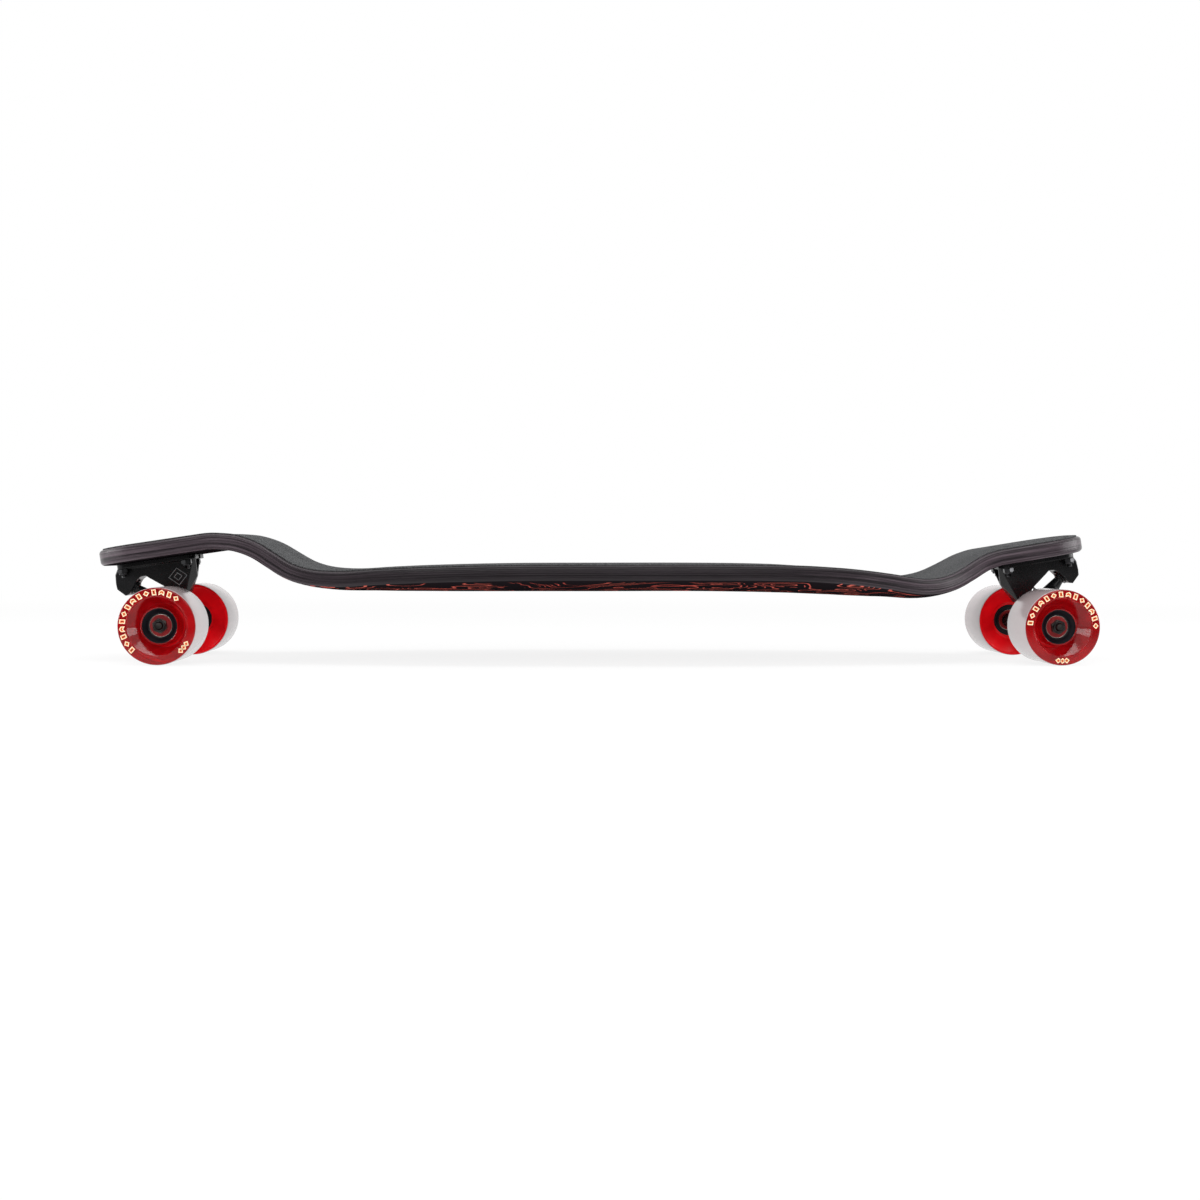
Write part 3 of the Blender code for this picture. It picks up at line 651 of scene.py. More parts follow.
def stained_ply():
    """Maple plies under a black-violet stain, with a painted highlight towards the tips, and a line
    drawing of hills underneath.
    """
    ply = Finish("stained_ply")
    along, across, _ = ply.split(ply.own())
    depth = ply.attribute("depth", "Fac")
    layer = depth * PLIES
    number = {"W": layer.math("FLOOR")}
    tone = ply.node("ShaderNodeTexWhiteNoise", {"noise_dimensions": "1D"}, number)
    seam = 1 - layer.math("FRACT").math("PINGPONG", 0.5).rise(0.02, 0.20)
    streaks = ply.noise(ply.combine(along * 9, across * 9, depth * 9), 1.0, 5, 0.66)
    threads = ply.noise(ply.combine(along * 30, across * 30, depth * 60), 1.0, 3, 0.6)
    cloud = ply.noise(ply.combine(along * 5, across * 5, depth * 0.6), 1.0, 2)
    pale = streaks.rise(0.44, 0.66) * 0.5 + threads.rise(0.42, 0.62) * 0.2 + tone * 0.3
    # Painted highlight: the rails' colour grows paler towards the tips, standing in for the light
    # they catch there.
    ends = along.math("ABSOLUTE").rise(0.16, 0.40)
    pale = pale * (0.25 + cloud) * (0.16 + ends * 0.80)
    side = ply.mix(pale, (0.005, 0.003, 0.0045), (0.150, 0.112, 0.134))
    side = ply.mix(seam * cloud.rise(0.34, 0.66) * 0.55, side, (0.003, 0.0015, 0.0025))
    relief = streaks * 0.6 + threads * 0.3 + (1 - seam) * 0.5
    lacquered = ply.principled(
        base_color=side,
        roughness=0.22 + streaks * 0.16,
        specular_ior_level=0.26,
        normal=ply.bump(relief, 0.00018, 0.7),
    )
    # The drawing under the board
    ground = ply.combine(along * 5.5, across * 9.0, 0)
    hills = ply.noise(ground, 1.3, 2, 0.45)
    swell = ply.noise(ground, 4.0, 1, 0.4)
    level = (hills * 11 + swell * 1.2).math("FRACT").math("PINGPONG", 0.5)
    fine = (hills * 44 + swell * 4.8).math("FRACT").math("PINGPONG", 0.5)
    bold = 1 - level.rise(0.022, 0.046)
    thin = (1 - fine.rise(0.06, 0.11)) * swell.rise(0.52, 0.56)
    lines = bold.math("MAXIMUM", thin)
    middle = 1 - along.math("ABSOLUTE").rise(0.30, 0.32)
    margin = 1 - across.math("ABSOLUTE").rise(0.112, 0.116)
    warm = ply.mix(ply.noise(ground, 2.0, 1), (0.52, 0.050, 0.042), (0.68, 0.18, 0.13))
    printed = ply.principled(
        base_color=ply.mix(lines * middle * margin, (0.013, 0.010, 0.012), warm),
        roughness=0.7,
        specular_ior_level=0.0,
        normal=ply.bump(threads, 0.00005, 0.4),
    )
    return ply.end(ply.blend(depth.rise(0.955, 0.985), lacquered, printed))


def grip_grit():
    """Silicon carbide grains on a charcoal sheet, with painted glints."""
    grit = Finish("grip_grit")
    place = grit.own()
    grains = grit.cells(place, 2600)
    clumps = grit.noise(place, 700, 4, 0.65)
    worn = grit.noise(grit.stretched(place, (1, 2.2, 1)), 9, 3)
    # Painted glints: tiny pale specks in the colour stand in for light sparkling off the grains.
    painted_glint = (grit.noise(place, 4200, 1) > 0.69) * 0.5
    colour = grit.mix(clumps.rise(0.35, 0.68), (0.030, 0.030, 0.032), (0.105, 0.107, 0.110))
    colour = grit.mix(worn.rise(0.4, 0.75) * 0.3, colour, (0.125, 0.128, 0.130))
    colour = grit.mix(painted_glint, colour, (0.28, 0.28, 0.29))
    height = clumps * 0.7 + grains * 0.5
    return grit.end(
        grit.principled(
            base_color=colour,
            roughness=0.88,
            specular_ior_level=0.2,
            normal=grit.bump(height, 0.0006, 0.9),
        )
    )


def black_casting():
    """Satin black coating over a cast surface."""
    cast = Finish("black_cast_metal")
    place = cast.own()
    pores = cast.noise(place, 420, 2)
    cloud = cast.noise(place, 45, 3)
    colour = cast.mix(cloud.rise(0.3, 0.75), (0.004, 0.004, 0.0045), (0.009, 0.009, 0.010))
    return cast.end(
        cast.principled(
            base_color=colour,
            roughness=0.24 + pores * 0.06,
            specular_ior_level=0.24,
            normal=cast.bump(pores, 0.00003, 0.15),
        )
    )


def steel(name, pale, dark, rough, scale=1800):
    """Plated steel: faint turning lines, patches and small scratches."""
    metal = Finish(name)
    place = metal.own()
    lines = metal.noise(metal.stretched(place, (0.12, 0.12, 1)), scale, 3, 0.6)
    patch = metal.noise(place, 160, 3)
    colour = metal.mix(patch.rise(0.3, 0.75), dark, pale)
    return metal.end(
        metal.principled(
            base_color=colour,
            metallic=1.0,
            roughness=0.75 * rough + lines * (0.6 * rough),
            normal=metal.bump(lines, 0.00003, 0.5),
        )
    )


def moulded(name, low, high, rough, scale=900):
    """Plain moulded plastic, rubber or coating with a fine skin."""
    skin = Finish(name)
    place = skin.own()
    fine = skin.noise(place, scale, 3)
    cloud = skin.noise(place, 70, 3)
    colour = skin.mix(cloud.rise(0.3, 0.7), low, high)
    return skin.end(
        skin.principled(
            base_color=colour,
            roughness=0.85 * rough + fine * (0.3 * rough),
            specular_ior_level=0.25,
            normal=skin.bump(fine, 0.00008, 0.35),
        )
    )


def red_urethane():
    """Clear red cast urethane, painted brighter and less clear on its inner side, with a pale
    ground tread.
    """
    cast = Finish("red_urethane")
    x, y, z = cast.split(cast.own())
    radius = (x * x + y * y).math("SQRT")
    rings = cast.noise(cast.combine(radius * 900, z * 900, 0), 1.0, 3)
    cloud = cast.noise(cast.own(), 75, 2)
    clear = cast.principled(
        base_color=cast.mix(cloud.rise(0.35, 0.70), (0.66, 0.002, 0.006), (0.88, 0.006, 0.012)),
        roughness=0.05 + rings * 0.05,
        ior=1.42,
        specular_ior_level=0.32,
        transmission_weight=0.76,
        normal=cast.bump(rings, 0.00003, 0.35),
    )
    # Painted light: the inner side gets a brighter, more opaque red, standing in for the light it
    # misses in shade.
    inner_painted_light = cast.principled(
        base_color=cast.mix(cloud, (0.88, 0.003, 0.008), (0.98, 0.006, 0.012)),
        roughness=0.22,
        specular_ior_level=0.2,
        transmission_weight=0.15,
    )
    # The painted light on the inner side, the clear urethane towards the outer face.
    body = cast.blend(z.rise(-0.008, 0.002), inner_painted_light, clear)
    bands = cast.noise(cast.combine(0, 0, z * 1600), 1.0, 2)
    ground = cast.principled(
        base_color=cast.mix(bands.rise(0.3, 0.7), (0.40, 0.33, 0.335), (0.47, 0.39, 0.395)),
        roughness=0.26,
        specular_ior_level=0.6,
        coat_weight=0.6,
        coat_roughness=0.12,
        normal=cast.bump(bands, 0.00003, 0.3),
    )
    return cast.end(cast.blend(radius.rise(0.0364, 0.0368), body, ground))


def print_ink(name, thin_colour, full_colour):
    """Screen ink, a little uneven."""
    ink = Finish(name)
    thin = ink.noise(ink.own(), 900, 3)
    return ink.end(
        ink.principled(
            base_color=ink.mix(thin.rise(0.42, 0.68), thin_colour, full_colour),
            roughness=0.4,
            specular_ior_level=0.25,
            normal=ink.bump(thin, 0.00002, 0.3),
        )
    )


PLY = stained_ply()
GRIT = grip_grit()
CASTING = black_casting()
# Painted highlight: a paler grey for the emblem's raised lines, standing in for the light they
# catch.
EMBLEM_HIGHLIGHT = moulded("painted_emblem_highlight", (0.11, 0.11, 0.115), (0.19, 0.19, 0.195), 0.34)
ZINC = steel("bright_zinc", (0.74, 0.74, 0.75), (0.52, 0.52, 0.54), 0.24)
DARK_STEEL = steel("dark_steel", (0.080, 0.072, 0.068), (0.030, 0.027, 0.026), 0.32)
BLACK_ZINC = steel("black_zinc", (0.065, 0.065, 0.068), (0.030, 0.030, 0.032), 0.20)
RACE = steel("ground_steel", (0.66, 0.58, 0.53), (0.48, 0.41, 0.37), 0.16, 3000)
CORE_BLACK = moulded("black_moulding", (0.0035, 0.0035, 0.006), (0.009, 0.009, 0.012), 0.34)
BUSH_BLACK = moulded("black_urethane", (0.006, 0.006, 0.007), (0.016, 0.016, 0.018), 0.33)
SEAL_RED = moulded("red_rubber", (0.20, 0.008, 0.010), (0.34, 0.018, 0.020), 0.45)
NYLON = moulded("smoke_nylon", (0.030, 0.030, 0.032), (0.065, 0.065, 0.070), 0.5)
URETHANE = red_urethane()
CREAM_INK = print_ink("cream_ink", (0.93, 0.70, 0.42), (0.95, 0.86, 0.66))
ORANGE_INK = print_ink("orange_ink", (0.74, 0.16, 0.05), (0.86, 0.28, 0.09))


# Deck ---------------------------------------------------------------------------------------------


def through(stations, x, first_slope=None, last_slope=None):
    """A smooth curve through the (x, value) stations, read at x."""
    xs = [station[0] for station in stations]
    ys = [station[1] for station in stations]
    last = len(xs) - 1
    index = max(0, min(last - 1, sum(1 for value in xs if value <= x) - 1))

    def slope(at):
        if at == 0 and first_slope is not None:
            return first_slope
        if at == last and last_slope is not None:
            return last_slope
        low, high = max(0, at - 1), min(last, at + 1)
        return (ys[high] - ys[low]) / (xs[high] - xs[low])

    span = xs[index + 1] - xs[index]
    t = max(0.0, min(1.0, (x - xs[index]) / span))
    rise = 2 * t**3 - 3 * t**2
    return (
        (rise + 1) * ys[index]
        - rise * ys[index + 1]
        + (t**3 - 2 * t**2 + t) * span * slope(index)
        + (t**3 - t**2) * span * slope(index + 1)
    )


def flat_end_height(x, axle_x, tilt):
    return AXLE_HEIGHT + DECK_TOP / math.cos(tilt) + (x - axle_x) * math.tan(tilt)


def tail_height(x):
    return flat_end_height(x, REAR_AXLE_X, REAR_TILT)


def nose_height(x):
    return flat_end_height(x, FRONT_AXLE_X, FRONT_TILT)


def rail_height(x):
    """The height of the board's top at its rail."""
    if x <= FLAT_TAIL_END:
        return tail_height(x)
    if x >= FLAT_NOSE_START:
        return nose_height(x)
    stations = (
        (FLAT_TAIL_END, tail_height(FLAT_TAIL_END)),
        *RAIL_STATIONS,
        (FLAT_NOSE_START, nose_height(FLAT_NOSE_START)),
    )
    return through(stations, x, math.tan(REAR_TILT), math.tan(FRONT_TILT))


def spaced(low, high, step):
    """Even steps from low up to, but without, high."""
    count = max(1, round((high - low) / step))
    return [low + (high - low) * index / count for index in range(count)]


TAIL = DECK_MIDDLE_X - DECK_LENGTH / 2
NOSE = DECK_MIDDLE_X + DECK_LENGTH / 2
SIDE_LINE = [Vector((x, 0, rail_height(x))) for x in [*spaced(TAIL, NOSE, 0.002), NOSE]]
TRAVEL = [0.0]
for start, end in zip(SIDE_LINE, SIDE_LINE[1:]):
    TRAVEL.append(TRAVEL[-1] + (end - start).length)


def travel_at(x):
    """How far along the top of the board x lies, from the tail."""
    return through([(point.x, way) for point, way in zip(SIDE_LINE, TRAVEL)], x)


def flat_board(name, inset):
    """The board's plan, rolled out flat: rows where it bends, and a plain sheet at each end."""
    bends = [
        *spaced(FLAT_TAIL_END, TAIL_BEND_END, BEND_STEP),
        *spaced(TAIL_BEND_END, NOSE_BEND_START, MIDDLE_STEP),
        *spaced(NOSE_BEND_START, FLAT_NOSE_START, BEND_STEP),
        FLAT_NOSE_START,
    ]
    rows = [TAIL + inset, *bends, NOSE - inset]
    far = 10  # where the rows wait, so that moved ones never meet them
    board = added(
        name,
        bpy.ops.mesh.primitive_grid_add,
        x_subdivisions=len(rows) - 1,
        y_subdivisions=BOARD_COLUMNS,
        size=2,
        location=(far, 0, 0),
    )
    edit(board)
    for index, x in enumerate(rows):
        start = far - 1 + 2 * index / (len(rows) - 1)
        pick(board, "VERT", lambda vert: abs(vert.co.x - start) < 0.001)
        half = through(WIDTH_STATIONS, x) - inset
        bpy.ops.transform.resize(value=(1, half, 1), center_override=(start, 0, 0))
        bpy.ops.transform.translate(value=(travel_at(x) - start, 0, 0))
    for low, high in ((-1, travel_at(rows[1])), (travel_at(rows[-2]), 2)):
        pick(board, "FACE", lambda face: low < face.calc_center_median().x < high)
        bpy.ops.mesh.dissolve_faces(use_verts=True)
    ends = travel_at(rows[0]), travel_at(rows[-1])
    pick(board, "VERT", lambda vert: min(abs(vert.co.x - end) for end in ends) < 1e-5)
    bpy.ops.mesh.bevel(offset=TIP_CORNER - inset, segments=14, affect="VERTICES")
    done()
    return board


def bent(board):
    """The flat board pressed to its side line, with its middle dished."""
    edge = [(travel_at(x), half) for x, half in WIDTH_STATIONS]
    depth = [(travel_at(x), dish) for x, dish in DISH_STATIONS]
    group = board.vertex_groups.new(name="dish")
    for vert in board.data.vertices:
        if depth[0][0] < vert.co.x < depth[-1][0]:
            across = vert.co.y / through(edge, vert.co.x)
            weight = through(depth, vert.co.x) / DISH_MOST * (1 - across**2)
            group.add([vert.index], max(0.0, min(1.0, weight)), "REPLACE")
    modified(
        board,
        "DISPLACE",
        direction="Z",
        strength=-DISH_MOST,
        mid_level=0,
        vertex_group="dish",
    )
    board.vertex_groups.clear()
    line = bpy.data.curves.new("side_line", "CURVE")
    line.dimensions = "3D"
    line.twist_mode = "Z_UP"
    spline = line.splines.new("POLY")
    spline.points.add(len(SIDE_LINE) - 1)
    for point, place in zip(spline.points, SIDE_LINE):
        point.co = (*place, 1)
    guide = bpy.data.objects.new("side_line", line)
    bpy.context.scene.collection.objects.link(guide)
    modified(board, "CURVE", object=guide, deform_axis="POS_X")
    dropped(guide)
    return board


def truck_place(axle_x, tilt, turned_round):
    """Where a truck's own frame stands."""
    turn = Matrix.Rotation(math.pi if turned_round else 0.0, 4, "Z")
    lean = Matrix.Rotation(-tilt, 4, "Y")
    return Matrix.Translation((axle_x, 0, AXLE_HEIGHT)) @ lean @ turn


PLACES = {
    "rear": truck_place(REAR_AXLE_X, REAR_TILT, True),
    "front": truck_place(FRONT_AXLE_X, FRONT_TILT, False),
}
BOLT_PLACES = [
    Vector((HOLE_CENTRE_X + x * HOLE_PITCH_X / 2, y * HOLE_PITCH_Y / 2, 0))
    for x in (-1, 1)
    for y in (-1, 1)
]


def drilled(board, name, profile):
    """The board with a round hole of this profile at every bolt."""
    hole = solid(name, profile, steps=32)
    spots = [place @ Matrix.Translation(at) for place in PLACES.values() for at in BOLT_PLACES]
    cut(board, *[copied(hole, "tool", spot) for spot in spots])
    dropped(hole)


def depth_in_board(point):
    """How deep a point lies below the board's top line: 1 on its underside."""
    slope = (rail_height(point.x + 0.001) - rail_height(point.x - 0.001)) / 0.002
    return (rail_height(point.x) - point.z) * math.cos(math.atan(slope)) / DECK_THICKNESS


def make_deck():
    """The pressed boards with their bolt sinks, and the grip sheet on top."""
    board = flat_board("deck_boards", inset=0)
    modified(board, "SOLIDIFY", thickness=DECK_THICKNESS, offset=-1)
    modified(
        board,
        "BEVEL",
        width=RAIL_ROUNDING,
        segments=5,
        limit_method="ANGLE",
        angle_limit=math.radians(60),
        use_clamp_overlap=False,
    )
    bent(board)
    room = 0.0004
    sink = (
        (BOLT_RADIUS + room, DECK_TOP - 0.02),
        (BOLT_RADIUS + room, DECK_TOP - 0.0028),
        (BOLT_HEAD_RADIUS + room, DECK_TOP + room),
        (BOLT_HEAD_RADIUS + room, DECK_TOP + 0.004),
    )
    drilled(board, "sink", sink)
    depth = board.data.attributes.new("depth", "FLOAT", "POINT")
    depth.data.foreach_set("value", [depth_in_board(vert.co) for vert in board.data.vertices])
    finished(board, PLY, angle=50)
    settle(board, "board", "stained_ply", "deck")

    tape = flat_board("grip_sheet", inset=RAIL_ROUNDING)
    laid(tape, Matrix.Translation((0, 0, GRIP_LIFT)))
    modified(tape, "SOLIDIFY", thickness=GRIP_THICKNESS, offset=1)
    bent(tape)
    reach = BOLT_HEAD_RADIUS + CLEARANCE
    drilled(tape, "hole", ((reach, DECK_TOP - 0.001), (reach, DECK_TOP + 0.004)))
    finished(tape, GRIT, angle=50)
    settle(tape, "board", "grip_grit", "grip_tape")


# Trucks -------------------------------------------------------------------------------------------

RING_PLACE = Matrix.Translation((RING_CENTRE[0], 0, RING_CENTRE[1]))
STEERING = RING_PLACE @ Matrix.Rotation(-STEERING_SLOPE, 4, "Y")
ALONG = STEERING @ Matrix.Rotation(math.pi / 2, 4, "Y")
ACROSS = Matrix.Rotation(-math.pi / 2, 4, "X")


def in_steering(x, z):
    """A point of the steering frame's middle plane, as the truck's x and z."""
    point = STEERING @ Vector((x, 0, z))
    return point.x, point.z


def drill(radius, low, high, place, steps=48):
    """A round rod to cut with, along its place's Z."""
    return laid(solid("drill", ((radius, low), (radius, high)), steps), place)


def base_casting():
    """The baseplate: a bored body with an arched underside and a keeled prow, below a flange."""
    seat_corner, seat_end = [in_steering(x, SEAT_DISTANCE) for x in SEAT_REACH]
    pivot_seat = [in_steering(PIVOT_MOUTH, z) for z in PIVOT_MOUTH_REACH]
    side = (PROW_TOP, PROW_FOOT, seat_corner, seat_end, *BODY_ARCH, *pivot_seat, *BODY_OUTER_END)
    body = plate("body", side, -BODY_HALF_WIDTH, BODY_HALF_WIDTH)
    outer = {(round(x, 4), round(z, 4)) for x, z in BODY_OUTER_END}

    def along_outer_end(edge):
        ends = {(round(vert.co.x, 4), round(vert.co.z, 4)) for vert in edge.verts}
        return len(ends) == 2 and ends <= outer

    edit(body)
    pick(body, "EDGE", along_outer_end)
    bpy.ops.mesh.bevel(offset=BODY_CORNER, segments=6, clamp_overlap=True)
    keel = (PROW_KEEL[0], 0, PROW_KEEL[1])
    for side_y in (-1, 1):
        back = Vector((-math.cos(PROW_LEAN), 0, -math.sin(PROW_LEAN)))
        prow = (back * PROW_SPREAD + Vector((0, side_y, 0))).normalized()
        flank = (0, side_y * BODY_HALF_WIDTH, PLATE_TOP)
        for spot, away in ((keel, prow), (flank, (0, side_y, -math.tan(FLANK_LEAN)))):
            bpy.ops.mesh.select_all(action="SELECT")
            bpy.ops.mesh.bisect(plane_co=spot, plane_no=away, use_fill=True, clear_outer=True)
    done()
    flange = added(
        "flange",
        bpy.ops.mesh.primitive_cube_add,
        size=1,
        scale=(PLATE_OUTER_END - PLATE_INNER_END, 2 * PLATE_HALF_WIDTH, PLATE_THICKNESS),
        location=((PLATE_OUTER_END + PLATE_INNER_END) / 2, 0, PLATE_TOP - PLATE_THICKNESS / 2),
    )

    def upright(edge):
        return abs((edge.verts[0].co - edge.verts[1].co).normalized().z) > 0.9

    edit(flange)
    pick(flange, "EDGE", upright)
    bpy.ops.mesh.bevel(offset=PLATE_CORNER, segments=8)
    done()
    casting = joined("base_casting", body, flange)
    melted(casting, grain=0.00042, softening=4, keep=0.5)
    head_top = KINGPIN_HEAD_SEAT + HEAD_POCKET_DEPTH
    head_x, head_z = in_steering(0, head_top)
    bolt_hole = BOLT_RADIUS + CLEARANCE
    cut(
        casting,
        scoop(),
        drill(KINGPIN_RADIUS + CLEARANCE, 0, 0.06, STEERING),
        drill(HEAD_POCKET_RADIUS, KINGPIN_HEAD_SEAT, head_top, STEERING),
        drill(HEAD_POCKET_RADIUS, head_z, 0.075, Matrix.Translation((head_x, 0, 0))),
        drill(PIVOT_HOLE_RADIUS, 0.030, PIVOT_NOSE_END + 0.0022, ALONG),
        *[drill(bolt_hole, 0.05, 0.08, Matrix.Translation(at), 32) for at in BOLT_PLACES],
    )
    finished(casting, CASTING, angle=42)
    # The emblem's raised lines take the paler grey of the painted highlight.
    return joined("base_casting", casting, finished(emblem(), EMBLEM_HIGHLIGHT, angle=42))


def scoop():
    """The hollow in the baseplate's inner end, narrowing down to the keel."""
    corners = ((-0.0093, 0.0605), (0.0093, 0.0605), (0.0016, 0.0475), (-0.0016, 0.0475))
    hollow = plate("scoop", corners, -0.0030, 0.0200)
    modified(hollow, "BEVEL", width=0.0012, segments=3)
    turn = Matrix.Rotation(math.pi / 2, 4, "Z")
    return laid(hollow, Matrix.Translation((PROW_TOP[0], 0, 0)) @ turn)


def emblem():
    """Raised lines on one flank: two nested lozenges."""
    middle_x, middle_z = -0.0060, 0.0455
    sunk = 0.0002
    reach = BODY_HALF_WIDTH - (PLATE_TOP - middle_z) * math.tan(FLANK_LEAN) - sunk
    lozenge = ((0, -0.0090), (0.0095, 0), (0, 0.0090), (-0.0095, 0))
    stroke = 0.0006
    lines = [
        outline_mark([(x * size, y * size) for x, y in lozenge], margin=0, stroke=stroke)
        for size in (1, 0.46)
    ]
    mark = thickened(joined("emblem", *lines), stroke)
    turn = Matrix.Rotation(-math.pi / 2 - FLANK_LEAN, 4, "X")
    return laid(mark, Matrix.Translation((middle_x, reach, middle_z)) @ turn)


def hanger_casting():
    """The hanger: ring, pivot stem, web and ribs, and the beam that carries the axle."""
    axle = STEERING.inverted() @ Vector((0, 0, 0))
    across = Matrix.Translation(axle) @ ACROSS
    corners = (
        (0.001, -HALF_RING, 0),
        (RING_RADIUS, -HALF_RING, 1),
        (RING_RADIUS, HALF_RING, 1),
        (0.001, HALF_RING, 0),
    )
    disc = solid("disc", softened(corners, 0.0012), steps=64)
    lips = [
        turned(
            "lip",
            (
                (0.0131, side * 0.004),
                (0.0157, side * 0.004),
                (0.0152, side * 0.0058),
                (0.0131, side * 0.0058),
            ),
        )
        for side in (-1, 1)
    ]
    centre = PIVOT_NOSE_END - PIVOT_NOSE_RADIUS
    dome = [
        (PIVOT_NOSE_RADIUS * math.cos(turn), centre + PIVOT_NOSE_RADIUS * math.sin(turn))
        for turn in map(math.radians, (0, 20, 40, 60, 80))
    ]
    nose = solid("nose", ((PIVOT_NOSE_RADIUS, PIVOT_NOSE_ROOT), *dome))
    laid(nose, Matrix.Rotation(math.pi / 2, 4, "Y"))
    stem = solid("stem", STEM_STATIONS)
    stem_end = Vector((STEM_STATIONS[-1][1], 0, 0))
    laid(
        stem,
        Matrix.Translation(stem_end - Vector((0, 0, STEM_DROP)))
        @ Matrix.Rotation(math.pi / 2 - STEM_FALL, 4, "Y")
        @ Matrix.Translation((0, 0, -stem_end.x)),
    )
    other_half = [(radius, -y) for radius, y in reversed(HALF_BEAM)]
    beam = laid(solid("beam", (*other_half, *HALF_BEAM), steps=56), across)
    web_outline = (
        (0.0260, -0.0060),
        (0.0260, 0.0060),
        (-0.0090, 0.0380),
        (axle.x, 0.0480),
        (axle.x, -0.0480),
        (-0.0090, -0.0380),
    )
    web = plate("web", web_outline, -HALF_WEB, HALF_WEB)
    flat = Matrix.Rotation(math.pi / 2, 4, "X").inverted()
    laid(web, Matrix.Translation((0, 0, -HALF_WEB)) @ flat)
    ribs = []
    for side in (-1, 1):
        rib = added(
            "rib",
            bpy.ops.mesh.primitive_cube_add,
            size=1,
            scale=(0.030, 0.0045, 0.010),
        )
        spot = Matrix.Translation((-0.004, side * 0.0245, -0.0052))
        ribs.append(laid(rib, spot @ Matrix.Rotation(-side * math.radians(52), 4, "Z")))
    casting = joined("hanger_casting", disc, *lips, nose, stem, beam, web, *ribs)
    melted(casting, grain=0.0005, softening=6, keep=0.45)
    cut(
        casting,
        drill(RING_BORE, -0.03, 0.03, Matrix()),
        drill(BUSHING_SADDLE, HALF_RING, 0.03, Matrix()),
        drill(BUSHING_SADDLE, -0.04, -HALF_RING, Matrix()),
        drill(AXLE_RADIUS + CLEARANCE, -0.09, 0.09, across),
    )
    return finished(casting, CASTING, angle=42)


def ring_piece(name, inner, outer, low, high, soft=0.0003):
    """A flat washer with softened edges."""
    corners = ((inner, low, 1), (outer, low, 1), (outer, high, 1), (inner, high, 1))
    return turned(name, softened(corners, soft, 3))


def bushing(name, low_radius, high_radius, low, high):
    """A urethane bushing with turned-in ends and a slight belly."""
    bore = KINGPIN_RADIUS + 0.0018
    belly = [
        (low_radius + share * (high_radius - low_radius) + 0.0002, low + share * (high - low), 0)
        for share in (0.25, 0.5, 0.75)
    ]
    corners = (
        (bore, low, 0.5),
        (low_radius, low, 1),
        *belly,
        (high_radius, high, 1),
        (bore, high, 0.5),
    )
    return turned(name, softened(corners, 0.0012, 5))


def make_kingpin():
    """A hex-headed bolt, threaded at its road end."""
    profile = (
        (KINGPIN_RADIUS - 0.0010, KINGPIN_END),
        *thread(KINGPIN_RADIUS, KINGPIN_END + 0.0008, KINGPIN_THREAD_TOP, FINE_PITCH),
        (KINGPIN_RADIUS, -0.0112),
        (KINGPIN_RADIUS, KINGPIN_HEAD_SEAT + 0.001),
    )
    head = KINGPIN_HEAD_SEAT + CLEARANCE, KINGPIN_HEAD_SEAT + 0.006
    return joined("kingpin", solid("kingpin", profile), hex_nut("head", KINGPIN_HEX, *head))


def make_bolt():
    """A flat-headed mounting bolt with a hexagon socket and a thread."""
    top = DECK_TOP + 0.0005
    end = DECK_TOP - BOLT_LENGTH
    profile = (
        (BOLT_RADIUS - 0.0006, end),
        *thread(BOLT_RADIUS, end + 0.0004, top - BOLT_THREAD_TOP, BOLT_PITCH),
        (BOLT_RADIUS, top - 0.0138),
        (BOLT_RADIUS, top - 0.0028),
        (BOLT_HEAD_RADIUS - 0.0001, top - 0.0002),
        (BOLT_HEAD_RADIUS - 0.0002, top),
    )
    shank = solid("bolt", profile, steps=32)
    socket = added(
        "socket",
        bpy.ops.mesh.primitive_cylinder_add,
        vertices=6,
        radius=0.0018,
        depth=0.0044,
        location=(0, 0, top),
    )
    return cut(shank, socket)


def lock_nut(name, width, height, bore):
    """A nut on its seat at zero, with a crimped collar for its nylon ring, and that ring."""
    body = hex_nut(name + "_body", width, 0, height * 0.72, bore)
    crimp = (
        (bore + 0.0006, height * 0.66, 0),
        (width * 0.47, height * 0.66, 0),
        (width * 0.45, height, 1),
        (width * 0.36, height, 0.6),
        (bore + 0.0006, height * 0.94, 0),
    )
    collar = turned(name + "_collar", softened(crimp, 0.0008), steps=48)
    lining = (
        (bore, height * 0.70),
        (width * 0.36, height * 0.70),
        (width * 0.36, height * 0.965),
        (bore + 0.0002, height * 0.965),
    )
    return joined(name, body, collar), turned(name + "_insert", lining, steps=48)


BUSHING_LOW_TOP = -HALF_RING - CLEARANCE
BUSHING_LOW_SEAT = BUSHING_LOW_TOP - BUSHING_HEIGHT
BUSHING_HIGH_TOP = SEAT_DISTANCE - 0.0021
WASHER_SEAT = BUSHING_LOW_SEAT - CLEARANCE


def pivot_cup():
    """The urethane cup that the hanger's nose turns in."""
    mouth = PIVOT_MOUTH - CLEARANCE
    room = 0.0059
    corners = (
        (room, mouth - 0.0009, 0.5),
        (0.0084, mouth - 0.0009, 1),
        (0.0084, mouth, 0),
        (0.0076, mouth, 0),
        (0.0076, PIVOT_NOSE_END + 0.0018, 1),
        (0.0010, PIVOT_NOSE_END + 0.0018, 0),
        (0.0010, PIVOT_NOSE_END + 0.0006, 0),
        (room - 0.0020, PIVOT_NOSE_END + 0.0004, 0),
        (room, PIVOT_NOSE_END - 0.0040, 0),
    )
    return turned("pivot_cup", softened(corners, 0.0006), steps=56)


def axle_rod():
    """The axle, threaded at both ends."""
    profile = (
        (AXLE_RADIUS - 0.0008, -AXLE_HALF_LENGTH),
        *thread(AXLE_RADIUS, -AXLE_HALF_LENGTH + 0.0006, -AXLE_THREAD_ROOT, FINE_PITCH),
        (AXLE_RADIUS, -0.0890),
        (AXLE_RADIUS, 0.0890),
        *thread(AXLE_RADIUS, AXLE_THREAD_ROOT, AXLE_HALF_LENGTH - 0.0006, FINE_PITCH),
        (AXLE_RADIUS - 0.0008, AXLE_HALF_LENGTH),
    )
    return solid("axle", profile, steps=40)


